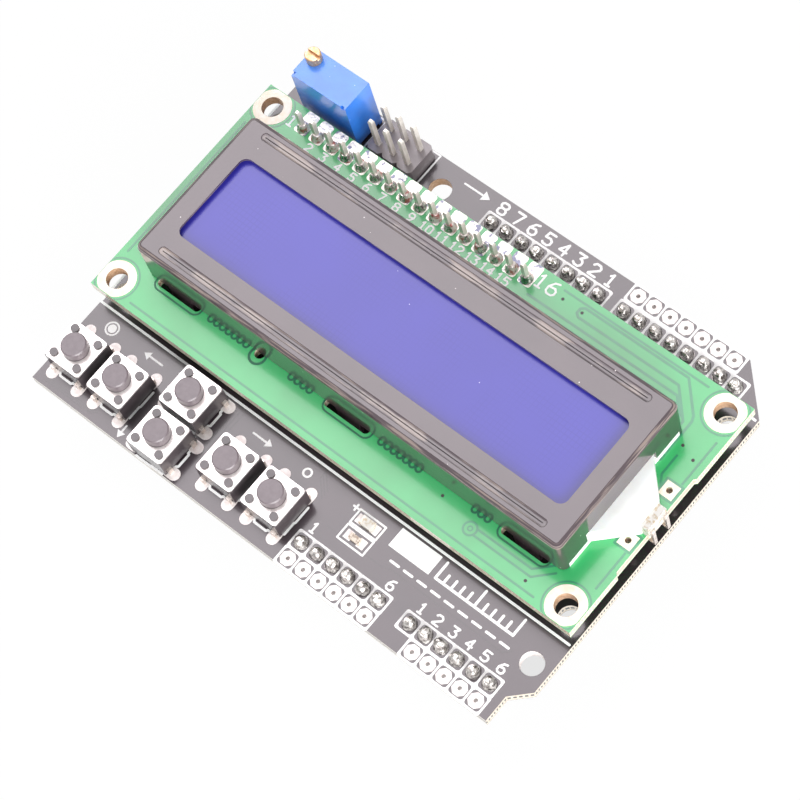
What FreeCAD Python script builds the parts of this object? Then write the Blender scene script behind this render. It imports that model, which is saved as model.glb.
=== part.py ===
import FreeCAD, Part
import os
import Sketcher
from FreeCAD import Placement, Rotation, Vector

# LCD keypad shield: a black plug-on circuit board that carries a 16 by 2 character display module,
# six tactile push buttons, a multi-turn contrast trimmer and the headers that plug into a host board.
# The part's frame has its origin under the centre of the black board, level with the tips of the
# header pins that point down, with +X along the display's reading direction and +Z up.

# Every size is a cell of the sheet, in millimetres. The layout is a chain of gaps: along X from the
# black board's right edge to its left, past the header pins and the keys, and along Y from its front
# edge to its back, past the keys, the display and the rear headers.
CELLS = [
    ("board_thick", 1.6, "black board, thickness"),
    ("step_wide", 2.45, "step in the front right corner, along X"),
    ("step_deep", 3.8, "step in the front right corner, along Y before its slope"),
    ("back_chamfer", 5.85, "chamfer of the back right corner"),
    ("mount_radius", 1.6, "mounting holes of the black board"),
    ("pin_end", 5.05, "last pins of both rows, from the right edge"),
    ("low_gap", 4.06, "between the two digital headers, pin to pin"),
    ("analog_gap", 5.08, "between the power and analog headers, pin to pin"),
    ("mount_gap", 8.64, "back mounting hole, left of the first digital pin"),
    ("program_gap", 3.2, "programming header's last pins, left of the back mounting hole's wall"),
    ("trimmer_gap", 1.765, "between the trimmer and the programming header"),
    ("mount_side", 2.54, "front mounting hole, right of the last pins"),
    ("mount_ahead", 5.08, "front mounting hole, behind the power row"),
    ("power_front", 3.84, "power and analog headers, from the front edge"),
    ("digital_gap", 2.39, "digital headers, behind the display board"),
    ("digital_back", 4.0, "digital headers, from the back edge"),
    ("program_back", 0.84, "between the programming header and the display board"),
    ("trimmer_back", 0.895, "between the trimmer and the display board"),
    ("pitch", 2.54, "spacing of the header pins"),
    ("pin_side", 0.64, "header pin, side of its square section"),
    ("pin_tip", 0.3, "header pin, length of its tapered tip"),
    ("pin_taper", 22, "header pin, slope of its tip in degrees"),
    ("pin_reach", 6.0, "header pin, long end beyond its strip"),
    ("pin_tail", 3.0, "header pin, short end beyond its strip"),
    ("strip_high", 2.54, "header strip, height"),
    ("strip_wide", 2.5, "header strip, depth"),
    ("strip_notch", 0.45, "header strip, notch between two pins"),
    ("pin_clear", 0.0475, "plated pin hole, clearance at a pin's corner"),
    ("solder_lap", 0.0475, "solder joint, thickness of its neck at a pin's corner"),
    ("solder_spread", 0.42, "solder joint, growth from its neck to its foot"),
    ("solder_high", 1.15, "solder joint, height"),
    ("spare_back_shift", 0.18, "open pads at the back, right of the digital pins before them"),
    ("spare_back_out", 2.82, "open pads at the back, behind the digital headers"),
    ("spare_power_shift", -0.04, "open pads before the power header, right of its pins"),
    ("spare_analog_shift", 2.6, "open pads before the analog header, right of its first pin"),
    ("spare_front_out", 2.62, "open pads at the front, before the power row"),
    ("lcd_over", 0.5, "display board, reach past the black board's left edge"),
    ("lcd_width", 36.0, "display board, width"),
    ("lcd_thick", 1.6, "display board, thickness"),
    ("lcd_float", 0.26, "gap between the display board and its header strip"),
    ("lcd_hole_inset", 2.5, "display board, mounting holes from its edges"),
    ("lcd_hole_radius", 1.5, "display board, mounting holes"),
    ("lcd_pin_x", 8.0, "display header, X of its first pin"),
    ("lcd_pin_inset", 2.5, "display header, from the module's back edge"),
    ("edge_nick", 0.3, "shallow nick where the display board was snapped off its panel"),
    ("nick_start", 9.1, "nick, start along Y"),
    ("nick_back", 11.4, "nick, its end from the back edge"),
    ("bezel_x", 5.15, "metal bezel, from the display board's left edge"),
    ("bezel_end", 5.2, "metal bezel, from the display board's right edge"),
    ("bezel_y", 5.6, "metal bezel, from the display board's front edge"),
    ("bezel_back", 7.0, "metal bezel, from the display board's back edge"),
    ("bezel_high", 7.4, "metal bezel, top above the display board"),
    ("bezel_sheet", 0.4, "metal bezel, sheet thickness"),
    ("bezel_corner", 1.0, "metal bezel, radius of its corners"),
    ("shoulder_low", 0.42, "bezel shoulder, height of its steep band"),
    ("shoulder_high", 0.18, "bezel shoulder, height of its shallow band"),
    ("shoulder_angle", 22.5, "bezel shoulder, slope of its steep band from upright, in degrees"),
    ("shoulder_in", 0.174, "bezel shoulder, inset of its steep band"),
    ("bezel_foot", 0.1, "gap between the bezel's long walls and the display board"),
    ("window_x", 3.25, "window, from the bezel's left side"),
    ("window_y", 4.6, "window, from the bezel's front side"),
    ("window_end", 3.0, "window, from the bezel's right side"),
    ("window_back", 5.3, "window, from the bezel's back side"),
    ("window_corner", 1.2, "window, radius of its corners"),
    ("bead_inset_x", 3.1, "pressed bead, from the bezel's end"),
    ("bead_inset_y", 1.7, "pressed bead, from the bezel's long side"),
    ("bead_radius", 0.6, "pressed bead, half its width"),
    ("bead_corner", 0.55, "pressed bead, radius of its ends"),
    ("bead_deep", 0.25, "pressed bead, depth"),
    ("bead_swell", 0.12, "pressed bead, growth of its rib under the sheet"),
    ("tab_slot_long", 7.4, "slot for a bezel tab, length"),
    ("tab_slot_radius", 0.65, "slot for a bezel tab, half its width"),
    ("tab_slot_out", 0.05, "slot for a bezel tab, its centre line inside the bezel's side"),
    ("tab_slot_corner", 0.6, "slot for a bezel tab, radius of its ends"),
    ("tab_end", 5.925, "outer bezel tabs, from the bezel's ends"),
    ("tab_shift", 0.2, "bezel tabs, their middle left of the bezel's middle"),
    ("tab_long", 4.0, "bezel tab, length"),
    ("tab_drop", 0.8, "bezel tab, reach below the display board"),
    ("peg_hole", 0.75, "round locating hole in the display board, radius"),
    ("peg_shift", 0.325, "round locating hole, left of the middle between two tabs"),
    ("glass_drop", 0.4, "display film, gap under the bezel's beads"),
    ("glass_inset", 0.75, "display glass, from the bezel's outside"),
    ("glass_pane", 1.1, "display glass, thickness of one pane"),
    ("rear_pane_inset", 3.0, "rear pane, from the bezel's long sides"),
    ("film_thick", 0.2, "polarising film, thickness"),
    ("film_lap", 0.6, "polarising film, lap under the window's edge"),
    ("contact_wide", 1.6, "rubber contact strip, width"),
    ("contact_inset", 0.1, "rubber contact strip, from the edge of the glass"),
    ("module_play", 0.05, "gap between the bezel and the backlight guide inside it"),
    ("guide_skirt", 1.0, "backlight guide, height of its end flanges"),
    ("skirt_wide", 1.6, "backlight guide, width of its end flanges"),
    ("wedge_shift", 0.4, "backlight wedge, before the bezel's middle"),
    ("wedge_side", 5.05, "backlight wedge, its root from the bezel's corners"),
    ("wedge_tip", 3.8, "backlight wedge, width at the lamp"),
    ("wedge_high", 2.9, "backlight wedge, height"),
    ("lamp_inset", 0.9, "backlight lamp, its inner face from the display board's edge"),
    ("lamp_long", 1.15, "backlight lamp, along X"),
    ("lamp_wide", 3.5, "backlight lamp, along Y"),
    ("lamp_high", 2.7, "backlight lamp, height"),
    ("lamp_lead_wide", 0.5, "backlight lamp lead, width"),
    ("lamp_lead_thick", 0.3, "backlight lamp lead, thickness"),
    ("lamp_lead_gap", 2.54, "backlight lamp leads, spacing"),
    ("lamp_lead_up", 1.6, "backlight lamp lead, height where it leaves the lamp"),
    ("lamp_lead_out", 0.15, "backlight lamp lead, from the lamp to its bend"),
    ("lamp_lead_hook", 1.4, "backlight lamp lead, hook under the display board"),
    ("lamp_pad_inset", 1.7, "test holes beside the lamp, from the display board's edge"),
    ("lamp_pad_gap", 8.04, "test holes beside the lamp, spacing"),
    ("lamp_pad_shift", 0.5, "test holes beside the lamp, their middle behind the lamp"),
    ("lamp_pad_hole", 0.42, "test holes beside the lamp, radius"),
    ("blob_radius", 6.0, "resin blob over a driver chip, radius"),
    ("blob_waist", 5.6, "resin blob over a driver chip, radius at its shoulder"),
    ("blob_crown", 3.7, "resin blob over a driver chip, radius of its flat crown"),
    ("blob_shoulder", 0.8, "resin blob over a driver chip, height of its shoulder"),
    ("blob_high", 1.3, "resin blob over a driver chip, height"),
    ("blob_gap", 26.0, "resin blobs, spacing"),
    ("trimmer_long", 9.53, "trimmer, length"),
    ("trimmer_wide", 4.83, "trimmer, width"),
    ("trimmer_high", 10.03, "trimmer, top above the board"),
    ("trimmer_foot", 0.45, "trimmer, height of its feet"),
    ("trimmer_foot_long", 1.2, "trimmer, length of a foot"),
    ("trimmer_foot_wide", 0.6, "trimmer, width of a foot"),
    ("trimmer_nick", 0.55, "trimmer, notch in its front left top corner"),
    ("trimmer_dimple", 0.3, "trimmer, radius of the dimple in its front face"),
    ("trimmer_pin", 0.25, "trimmer pin, radius"),
    ("trimmer_pin_drop", 1.2, "trimmer pin, reach below the board"),
    ("screw_left", 1.27, "trimmer screw, from the trimmer's left side"),
    ("screw_back", 1.41, "trimmer screw, from the trimmer's back side"),
    ("screw_head", 1.1, "trimmer screw, radius of its head"),
    ("screw_head_high", 1.5, "trimmer screw, height of its head"),
    ("screw_neck", 0.8, "trimmer screw, radius of its shaft"),
    ("screw_deep", 5.0, "trimmer screw, length of its shaft"),
    ("screw_bevel", 0.12, "trimmer screw, bevel of its head"),
    ("screw_slot", 0.5, "trimmer screw, width of its slot"),
    ("screw_slot_deep", 0.6, "trimmer screw, depth of its slot"),
    ("running_fit", 0.05, "radial clearance of turning and sliding pieces"),
    ("switch_side", 6.0, "button switch, side of its square body"),
    ("switch_stand", 0.2, "button switch, gap under its body"),
    ("switch_base_high", 3.1, "button switch, height of its plastic base"),
    ("switch_floor", 1.15, "button switch, thickness of its floor"),
    ("switch_wall", 0.8, "button switch, thinnest wall around its well"),
    ("cover_thick", 0.3, "button switch, metal cover"),
    ("cover_corner", 0.5, "button switch, radius of the cover's corners"),
    ("stake_radius", 0.58, "button switch, radius of its rivet studs"),
    ("stake_inset", 0.94, "button switch, rivet studs from its sides"),
    ("stake_proud", 0.28, "button switch, rivet studs above the cover"),
    ("cap_proud", 1.45, "button, top above the cover"),
    ("cap_edge", 0.15, "button, rounding of its top edge"),
    ("cap_side_play", 0.15, "button, gap between its flange and the well"),
    ("cap_lip", 0.3, "button, reach of its retaining flange under the cover"),
    ("cap_flange_high", 0.6, "button, thickness of its retaining flange"),
    ("cap_nub", 0.8, "button, radius of the nub that presses the dome"),
    ("cap_play", 0.03, "button, gap between its nub and the dome at rest"),
    ("dome_play", 0.25, "snap dome, gap between its rim and the well"),
    ("dome_skirt", 0.8, "snap dome, width of its sloping skirt"),
    ("dome_high", 0.7, "snap dome, height"),
    ("dome_drop", 0.2, "snap dome, fall from its middle to its bend"),
    ("dome_rim", 0.2, "snap dome, width of the rim that it stands on"),
    ("dome_sheet", 0.08, "snap dome, thickness"),
    ("blade_inset", 0.75, "switch terminals, their middle from the switch's side"),
    ("blade_out", 0.25, "switch terminals, row of their legs outside the switch's side"),
    ("blade_wide", 0.7, "switch terminals, width"),
    ("blade_thick", 0.3, "switch terminals, thickness"),
    ("blade_up", 0.8, "switch terminals, height of their bar above the board"),
    ("blade_drop", 1.0, "switch terminals, reach below the board"),
    ("keys_front", 2.75, "row of four buttons, switches from the front edge"),
    ("down_front", 0.25, "down switch, from the front edge"),
    ("up_gap", 0.65, "between the down and up switches"),
    ("keys_back", 0.81, "between the up switch and the display board"),
    ("keys_end", 2.62, "between the last switch and the power header's first pin"),
    ("reset_gap", 1.65, "between the last two switches"),
    ("right_gap", 4.2, "between the up and right switches"),
    ("left_gap", 3.05, "between the left and up switches"),
    ("select_gap", 1.45, "between the first two switches"),
    ("keys_margin", 1.0, "between the first switch and the left edge"),
    ("down_shift", 0.4, "down switch, right of the up switch"),
    ("chip_long", 1.6, "chip resistor, length"),
    ("chip_wide", 0.85, "chip resistor, width"),
    ("chip_high", 0.5, "chip resistor, height"),
    ("power_lamp_high", 0.7, "power lamp, height"),
    ("power_lamp_long", 2.0, "power lamp, length"),
    ("power_lamp_wide", 1.25, "power lamp, width"),
    ("power_lamp_side", 5.18, "power lamp, right of the power header's first pin"),
    ("power_lamp_back", 6.81, "power lamp, behind the power row"),
    ("resistor_back", 4.36, "resistor beside the power lamp, behind the power row"),
    ("ladder_side", 8.95, "key resistors under the display, from the left edge"),
    ("ladder_back", 7.59, "key resistors under the display, from its front edge"),
    ("ladder_step", 3.0, "key resistors under the display, spacing"),
    ("transistor_side", 28.55, "backlight transistor under the display, from the right edge"),
    ("transistor_front", 7.41, "backlight transistor under the display, from its back edge"),
    ("transistor_long", 2.9, "backlight transistor, length"),
    ("transistor_wide", 1.3, "backlight transistor, width"),
    ("transistor_high", 1.0, "backlight transistor, height"),
    ("transistor_lift", 0.1, "backlight transistor, gap under its case"),
    ("transistor_leg", 0.4, "backlight transistor, width of a leg"),
    ("transistor_reach", 0.55, "backlight transistor, length of a leg"),
    ("transistor_leg_high", 0.35, "backlight transistor, height of a leg"),
    ("transistor_leg_x", 0.95, "backlight transistor, outer legs from its middle"),
]


class Size:
    """A length with its value and the sheet expression that gives it."""

    def __init__(self, value, text):
        self.value = value
        self.text = text

    def join(self, sign, other, value):
        return Size(value, f"({self.text} {sign} {as_size(other).text})")

    def __add__(self, other):
        return self.join("+", other, self.value + as_size(other).value)

    def __sub__(self, other):
        return self.join("-", other, self.value - as_size(other).value)

    def __mul__(self, other):
        return self.join("*", other, self.value * as_size(other).value)

    def __truediv__(self, other):
        return self.join("/", other, self.value / as_size(other).value)

    def __neg__(self):
        return as_size(0) - self

    def __radd__(self, other):
        return as_size(other) + self

    def __rsub__(self, other):
        return as_size(other) - self

    def __rmul__(self, other):
        return as_size(other) * self


def as_size(number):
    return number if isinstance(number, Size) else Size(float(number), f"{number:.6g}")


class Sizes:
    """The sheet's cells, each one read by its name."""


doc = FreeCAD.newDocument("keypad_shield")
sheet = doc.addObject("Spreadsheet::Sheet", "Sizes")
s = Sizes()
for row, (alias, number, meaning) in enumerate(CELLS, start=1):
    sheet.set(f"A{row}", meaning)
    sheet.set(f"B{row}", str(number))
    sheet.setAlias(f"B{row}", alias)
    setattr(s, alias, Size(number, f"Sizes.{alias}"))
doc.recompute()


# Levels above the pin tips.
board_under = s.pin_reach + s.strip_high
board_top = board_under + s.board_thick
lcd_under = board_top + s.strip_high + s.lcd_float
lcd_top = lcd_under + s.lcd_thick
roof_under = lcd_top + s.bezel_high - s.bezel_sheet

# The chain along X, from the black board's right edge at zero to its left edge.
LONG_ROW = 8
SHORT_ROW = 6
PROGRAM_COLUMNS = 3
PROGRAM_ROWS = 2
last_pin_x = -s.pin_end
digital_low_x = last_pin_x - s.pitch * (LONG_ROW - 1)
digital_high_x = digital_low_x - s.low_gap - s.pitch * (LONG_ROW - 1)
analog_x = last_pin_x - s.pitch * (SHORT_ROW - 1)
power_x = analog_x - s.analog_gap - s.pitch * (SHORT_ROW - 1)
mount_back_x = digital_high_x - s.mount_gap
mount_front_x = last_pin_x + s.mount_side
program_x = mount_back_x - s.mount_radius - s.program_gap - s.pitch * (PROGRAM_COLUMNS - 1)
trimmer_middle = program_x - s.pitch / 2 - s.trimmer_gap - s.trimmer_long / 2
reset_x = power_x - s.keys_end - s.switch_side / 2
right_x = reset_x - s.reset_gap - s.switch_side
up_x = right_x - s.right_gap - s.switch_side
down_x = up_x + s.down_shift
left_x = up_x - s.left_gap - s.switch_side
select_x = left_x - s.select_gap - s.switch_side
board_length = s.keys_margin + s.switch_side / 2 - select_x
lcd_length = board_length + s.lcd_over

# The chain along Y, from the black board's front edge at zero to its back edge.
keys_y = s.keys_front + s.switch_side / 2
down_y = s.down_front + s.switch_side / 2
up_y = down_y + s.switch_side + s.up_gap
lcd_front = up_y + s.switch_side / 2 + s.keys_back
lcd_back = lcd_front + s.lcd_width
digital_row_y = lcd_back + s.digital_gap
board_depth = digital_row_y + s.digital_back
program_y = lcd_back + s.program_back + s.strip_wide / 2
trimmer_row_y = lcd_back + s.trimmer_back + s.trimmer_wide / 2

# The display module in the part's frame.
lcd_left = board_length / 2 - lcd_length
lcd_right = board_length / 2
lcd_near = lcd_front - board_depth / 2
lcd_far = lcd_near + s.lcd_width
bezel_left = lcd_left + s.bezel_x
bezel_right = lcd_right - s.bezel_end
bezel_near = lcd_near + s.bezel_y
bezel_far = lcd_far - s.bezel_back
bezel_length = lcd_length - s.bezel_x - s.bezel_end
bezel_width = s.lcd_width - s.bezel_y - s.bezel_back
window_length = bezel_length - s.window_x - s.window_end
window_width = bezel_width - s.window_y - s.window_back
glass_top = roof_under - s.bead_deep - s.module_play - s.glass_drop
guide_top = glass_top - s.glass_pane * 2 - s.module_play
lamp_x = lcd_right - s.lamp_inset
lamp_y = bezel_near + bezel_width / 2 - s.wedge_shift

# Radii that follow from a pin's square section.
HALF_DIAGONAL = 2**0.5 / 2
pin_hole = s.pin_side * HALF_DIAGONAL + s.pin_clear
solder_neck = s.pin_side * HALF_DIAGONAL + s.solder_lap
solder_foot = solder_neck + s.solder_spread
parts = {}


def on_board(x, y):
    """A place given from the black board's right and front edges, in the part's frame."""
    return x + board_length / 2, y - board_depth / 2


def row_of(x, y, count, step):
    """Places in a row along X, in the part's frame."""
    return [on_board(x + step * number, y) for number in range(count)]


# Objects bound to the sheet.
def bind(item, **sizes):
    for name, size in sizes.items():
        item.setExpression(name, as_size(size).text)
    return item


def place(item, x, y, z, turned=False):
    item.Placement = Placement(Vector(), Rotation(Vector(0, 0, 1), 90 if turned else 0))
    for axis, size in zip("xyz", (x, y, z)):
        item.setExpression(f"Placement.Base.{axis}", as_size(size).text)
    return item


def keep(name, item):
    """Names a finished sub-part, which is written to a file of that name."""
    item.Label = name
    parts[name] = item
    return item


def block(x, y, z, length, width, height):
    item = doc.addObject("Part::Box", "Block")
    bind(item, Length=length, Width=width, Height=height)
    return place(item, x, y, z)


def centred_block(x, y, z, length, width, height):
    return block(x - length / 2, y - width / 2, z, length, width, height)


def rod(x, y, z, radius, height):
    item = doc.addObject("Part::Cylinder", "Rod")
    bind(item, Radius=radius, Height=height)
    return place(item, x, y, z)


def cone(x, y, z, low_radius, high_radius, height):
    item = doc.addObject("Part::Cone", "Cone")
    bind(item, Radius1=low_radius, Radius2=high_radius, Height=height)
    return place(item, x, y, z)


def cut(base, tool):
    item = doc.addObject("Part::Cut", "Cut")
    item.Base = base
    item.Tool = tool
    return item


def fuse(*pieces):
    item = doc.addObject("Part::MultiFuse", "Fusion")
    item.Shapes = list(pieces)
    return item


def group(pieces):
    """Separate solids kept in one sub-part."""
    item = doc.addObject("Part::Compound", "Group")
    item.Links = list(pieces)
    return item


# Bodies made from sketches.
def new_body(name):
    return keep(name, doc.addObject("PartDesign::Body", "Body"))


def sketch_on(body, plane, lift=0):
    """A sketch on one of the body's own planes, lifted off it along its normal."""
    sketch = body.newObject("Sketcher::SketchObject", "Sketch")
    origin = next(item for item in body.Origin.OriginFeatures if item.Role == plane)
    sketch.AttachmentSupport = [(origin, "")]
    sketch.MapMode = "FlatFace"
    sketch.setExpression("AttachmentOffset.Base.z", as_size(lift).text)
    return sketch


def fix(sketch, element, point, x, y):
    """Holds one point of a sketch at a place bound to the sheet."""
    for kind, size in (("DistanceX", x), ("DistanceY", y)):
        size = as_size(size)
        number = sketch.addConstraint(
            Sketcher.Constraint(kind, -1, 1, element, point, size.value)
        )
        sketch.setExpression(f"Constraints[{number}]", size.text)


def set_radius(sketch, element, radius):
    radius = as_size(radius)
    number = sketch.addConstraint(Sketcher.Constraint("Radius", element, radius.value))
    sketch.setExpression(f"Constraints[{number}]", radius.text)


def flat(x, y):
    return Vector(as_size(x).value, as_size(y).value, 0)


def polygon(sketch, points):
    first = sketch.GeometryCount
    count = len(points)
    for number, (x, y) in enumerate(points):
        start = flat(x, y)
        end = flat(*points[(number + 1) % count])
        sketch.addGeometry(Part.LineSegment(start, end), False)
    for number, (x, y) in enumerate(points):
        before = first + (number - 1) % count
        sketch.addConstraint(Sketcher.Constraint("Coincident", before, 2, first + number, 1))
        fix(sketch, first + number, 1, x, y)


def rectangle(sketch, x, y, length, width):
    polygon(sketch, [(x, y), (x + length, y), (x + length, y + width), (x, y + width)])


def circle(sketch, x, y, radius):
    radius = as_size(radius)
    number = sketch.addGeometry(Part.Circle(flat(x, y), Vector(0, 0, 1), radius.value), False)
    fix(sketch, number, 3, x, y)
    set_radius(sketch, number, radius)


def rounded(sketch, x, y, length, width, radius):
    """A rectangle with round corners, each corner's arc fixed by its own centre."""
    radius = as_size(radius)
    right = x + length
    far = y + width
    centres = [
        (x + radius, y + radius, 180),
        (right - radius, y + radius, 270),
        (right - radius, far - radius, 0),
        (x + radius, far - radius, 90),
    ]
    arcs = []
    for centre_of_x, centre_of_y, angle in centres:
        whole = Part.Circle(flat(centre_of_x, centre_of_y), Vector(0, 0, 1), radius.value)
        start = FreeCAD.Units.Quantity(f"{angle} deg").getValueAs("rad").Value
        end = FreeCAD.Units.Quantity(f"{angle + 90} deg").getValueAs("rad").Value
        arcs.append(sketch.addGeometry(Part.ArcOfCircle(whole, start, end), False))
    for number, arc in enumerate(arcs):
        after = arcs[(number + 1) % 4]
        start = sketch.getPoint(arc, 2)
        end = sketch.getPoint(after, 1)
        line = sketch.addGeometry(Part.LineSegment(start, end), False)
        sketch.addConstraint(Sketcher.Constraint("Tangent", arc, 2, line, 1))
        sketch.addConstraint(Sketcher.Constraint("Tangent", line, 2, after, 1))
    for arc, (centre_of_x, centre_of_y, angle) in zip(arcs, centres):
        fix(sketch, arc, 3, centre_of_x, centre_of_y)
        set_radius(sketch, arc, radius)


def pad(body, sketch, length, taper=None):
    feature = body.newObject("PartDesign::Pad", "Pad")
    feature.Profile = sketch
    bind(feature, Length=length)
    if taper is not None:
        bind(feature, TaperAngle=taper)
    body.Tip = feature
    return feature


def pocket(body, sketch, depth):
    """Cuts down from the sketch's plane."""
    feature = body.newObject("PartDesign::Pocket", "Pocket")
    feature.Profile = sketch
    bind(feature, Length=depth)
    body.Tip = feature
    return feature


def revolve(body, sketch):
    feature = body.newObject("PartDesign::Revolution", "Revolution")
    feature.Profile = sketch
    feature.ReferenceAxis = (sketch, ["V_Axis"])
    feature.Angle = 360
    body.Tip = feature
    return feature


def repeat_along_x(body, features, sketch, count, step):
    """Repeats features of a body along X, one step apart."""
    pattern = body.newObject("PartDesign::LinearPattern", "LinearPattern")
    pattern.Originals = features
    pattern.Direction = (sketch, ["H_Axis"])
    pattern.Occurrences = count
    bind(pattern, Length=step * (count - 1))
    body.Tip = pattern
    return pattern


def drill(body, lift, depth, centres, radius):
    """Round holes cut down from a level of the body."""
    sketch = sketch_on(body, "XY_Plane", lift)
    for x, y in centres:
        circle(sketch, x, y, radius)
    return pocket(body, sketch, depth)


# Places of what the boards carry.
DOWN_HEADERS = {
    "digital_high": (digital_high_x, digital_row_y, LONG_ROW),
    "digital_low": (digital_low_x, digital_row_y, LONG_ROW),
    "power": (power_x, s.power_front, SHORT_ROW),
    "analog": (analog_x, s.power_front, SHORT_ROW),
}
SPARE_PADS = [
    (digital_low_x + s.spare_back_shift, digital_row_y + s.spare_back_out, 7),
    (power_x + s.spare_power_shift, s.power_front - s.spare_front_out, 6),
    (analog_x + s.spare_analog_shift, s.power_front - s.spare_front_out, 5),
]
KEYS = {
    "select": (select_x, keys_y, False),
    "left": (left_x, keys_y, False),
    "up": (up_x, up_y, True),
    "down": (down_x, down_y, True),
    "right": (right_x, keys_y, False),
    "reset": (reset_x, keys_y, False),
}
LCD_PINS = 16
LADDER_CHIPS = 5

header_pins = []
for header_x, header_y, header_count in DOWN_HEADERS.values():
    header_pins += row_of(header_x, header_y, header_count, s.pitch)
spare_holes = []
for spare_x, spare_y, spare_count in SPARE_PADS:
    spare_holes += row_of(spare_x, spare_y, spare_count, s.pitch)
lcd_pin_y = lcd_far - s.lcd_pin_inset
lcd_pins = [(lcd_left + s.lcd_pin_x + s.pitch * number, lcd_pin_y) for number in range(LCD_PINS)]
program_pins = []
for line in range(PROGRAM_ROWS):
    program_pins += row_of(program_x, program_y + s.pitch * line, PROGRAM_COLUMNS, s.pitch)
trimmer_x, trimmer_y = on_board(trimmer_middle, trimmer_row_y)
trimmer_pins = [(trimmer_x + s.pitch * number, trimmer_y) for number in (-1, 0, 1)]
screw_x = trimmer_x - s.trimmer_long / 2 + s.screw_left
screw_y = trimmer_y + s.trimmer_wide / 2 - s.screw_back
blade_x = s.switch_side / 2 - s.blade_inset
blade_y = s.switch_side / 2 + s.blade_out
key_legs = []
for key_x, key_y, turned in KEYS.values():
    middle_x, middle_y = on_board(key_x, key_y)
    for sign_x in (-1, 1):
        for sign_y in (-1, 1):
            aside, ahead = (blade_y, blade_x) if turned else (blade_x, blade_y)
            key_legs.append((middle_x + aside * sign_x, middle_y + ahead * sign_y))
lcd_holes = [
    (x, y)
    for x in (lcd_left + s.lcd_hole_inset, lcd_right - s.lcd_hole_inset)
    for y in (lcd_near + s.lcd_hole_inset, lcd_far - s.lcd_hole_inset)
]
tab_step = bezel_length / 2 - s.tab_end
tab_middle = bezel_left + bezel_length / 2 - s.tab_shift
tab_centres = [(tab_middle + tab_step * number, side) for number in (-1, 0, 1) for side in (0, 1)]


# The black board: square at the left, stepped at the front right and chamfered at the back right,
# with its mounting holes and a plated hole for every pin and leg.
def shield_board():
    body = new_body("shield_board")
    left, near = on_board(-board_length, 0)
    right, far = on_board(0, board_depth)
    outline = sketch_on(body, "XY_Plane", board_under)
    polygon(
        outline,
        [
            (left, near),
            (right - s.step_wide, near),
            (right - s.step_wide, near + s.step_deep),
            (right, near + s.step_deep + s.step_wide),
            (right, far - s.back_chamfer),
            (right - s.back_chamfer, far),
            (left, far),
        ],
    )
    pad(body, outline, s.board_thick)
    mounts = [
        on_board(mount_back_x, digital_row_y),
        on_board(mount_front_x, s.power_front + s.mount_ahead),
    ]
    drill(body, board_top, s.board_thick, mounts + lcd_holes, s.mount_radius)
    drill(body, board_top, s.board_thick, header_pins, pin_hole)
    drill(body, board_top, s.board_thick, spare_holes, pin_hole)
    drill(body, board_top, s.board_thick, lcd_pins + program_pins, pin_hole)
    drill(body, board_top, s.board_thick, key_legs, pin_hole)
    drill(body, board_top, s.board_thick, trimmer_pins, pin_hole)


# Header strips: plastic blocks of one segment per pin, notched between the pins.
def strip(name, x, y, z, count, rows=1):
    body = new_body(name)
    half = s.pitch / 2
    deep = s.strip_wide / 2
    segment = sketch_on(body, "XY_Plane")
    polygon(
        segment,
        [
            (-half, -deep + s.strip_notch),
            (-half + s.strip_notch, -deep),
            (half - s.strip_notch, -deep),
            (half, -deep + s.strip_notch),
            (half, s.pitch * (rows - 1) + deep - s.strip_notch),
            (half - s.strip_notch, s.pitch * (rows - 1) + deep),
            (-half + s.strip_notch, s.pitch * (rows - 1) + deep),
            (-half, s.pitch * (rows - 1) + deep - s.strip_notch),
        ],
    )
    solid = pad(body, segment, s.strip_high)
    holes = sketch_on(body, "XY_Plane", s.strip_high)
    for line in range(rows):
        middle = s.pitch * line - s.pin_side / 2
        rectangle(holes, -s.pin_side / 2, middle, s.pin_side, s.pin_side)
    hollow = pocket(body, holes, s.strip_high)
    repeat_along_x(body, [solid, hollow], segment, count, s.pitch)
    return place(body, x, y, z)


# Header pins: square wires with tapered tips, made standing with the long end up.
def pins(name, x, y, count, rows, low, high):
    body = new_body(name)
    half = s.pin_side / 2
    sections = []
    for line in range(rows):
        sections.append((-half, s.pitch * line - half))
    shaft = sketch_on(body, "XY_Plane", low + s.pin_tip)
    upper = sketch_on(body, "XY_Plane", high - s.pin_tip)
    lower = sketch_on(body, "XY_Plane", low + s.pin_tip)
    for sketch in (shaft, upper, lower):
        for corner_x, corner_y in sections:
            rectangle(sketch, corner_x, corner_y, s.pin_side, s.pin_side)
    middle = pad(body, shaft, high - low - s.pin_tip * 2)
    top = pad(body, upper, s.pin_tip, taper=-s.pin_taper)
    bottom = pad(body, lower, s.pin_tip, taper=-s.pin_taper)
    bottom.Reversed = True
    repeat_along_x(body, [middle, top, bottom], shaft, count, s.pitch)
    return place(body, x, y, 0)


def headers():
    for name, (x, y, count) in DOWN_HEADERS.items():
        first_x, first_y = on_board(x, y)
        strip(f"{name}_header_strip", first_x, first_y, s.pin_reach, count)
        high = board_under + s.pin_tail
        pins(f"{name}_header_pins", first_x, first_y, count, 1, 0, high)
    first_x, first_y = program_pins[0]
    low = board_top - s.pin_tail
    high = board_top + s.strip_high + s.pin_reach
    columns, rows = PROGRAM_COLUMNS, PROGRAM_ROWS
    strip("programming_header_strip", first_x, first_y, board_top, columns, rows)
    pins("programming_header_pins", first_x, first_y, columns, rows, low, high)
    first_x, first_y = lcd_pins[0]
    strip("lcd_header_strip", first_x, first_y, board_top, LCD_PINS)
    pins("lcd_header_pins", first_x, first_y, LCD_PINS, 1, low, high)


# Solder: a cone at each joint, clear inside for the pin that it holds.
def pin_space(places, level, height):
    return [centred_block(x, y, level, s.pin_side, s.pin_side, height) for x, y in places]


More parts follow.
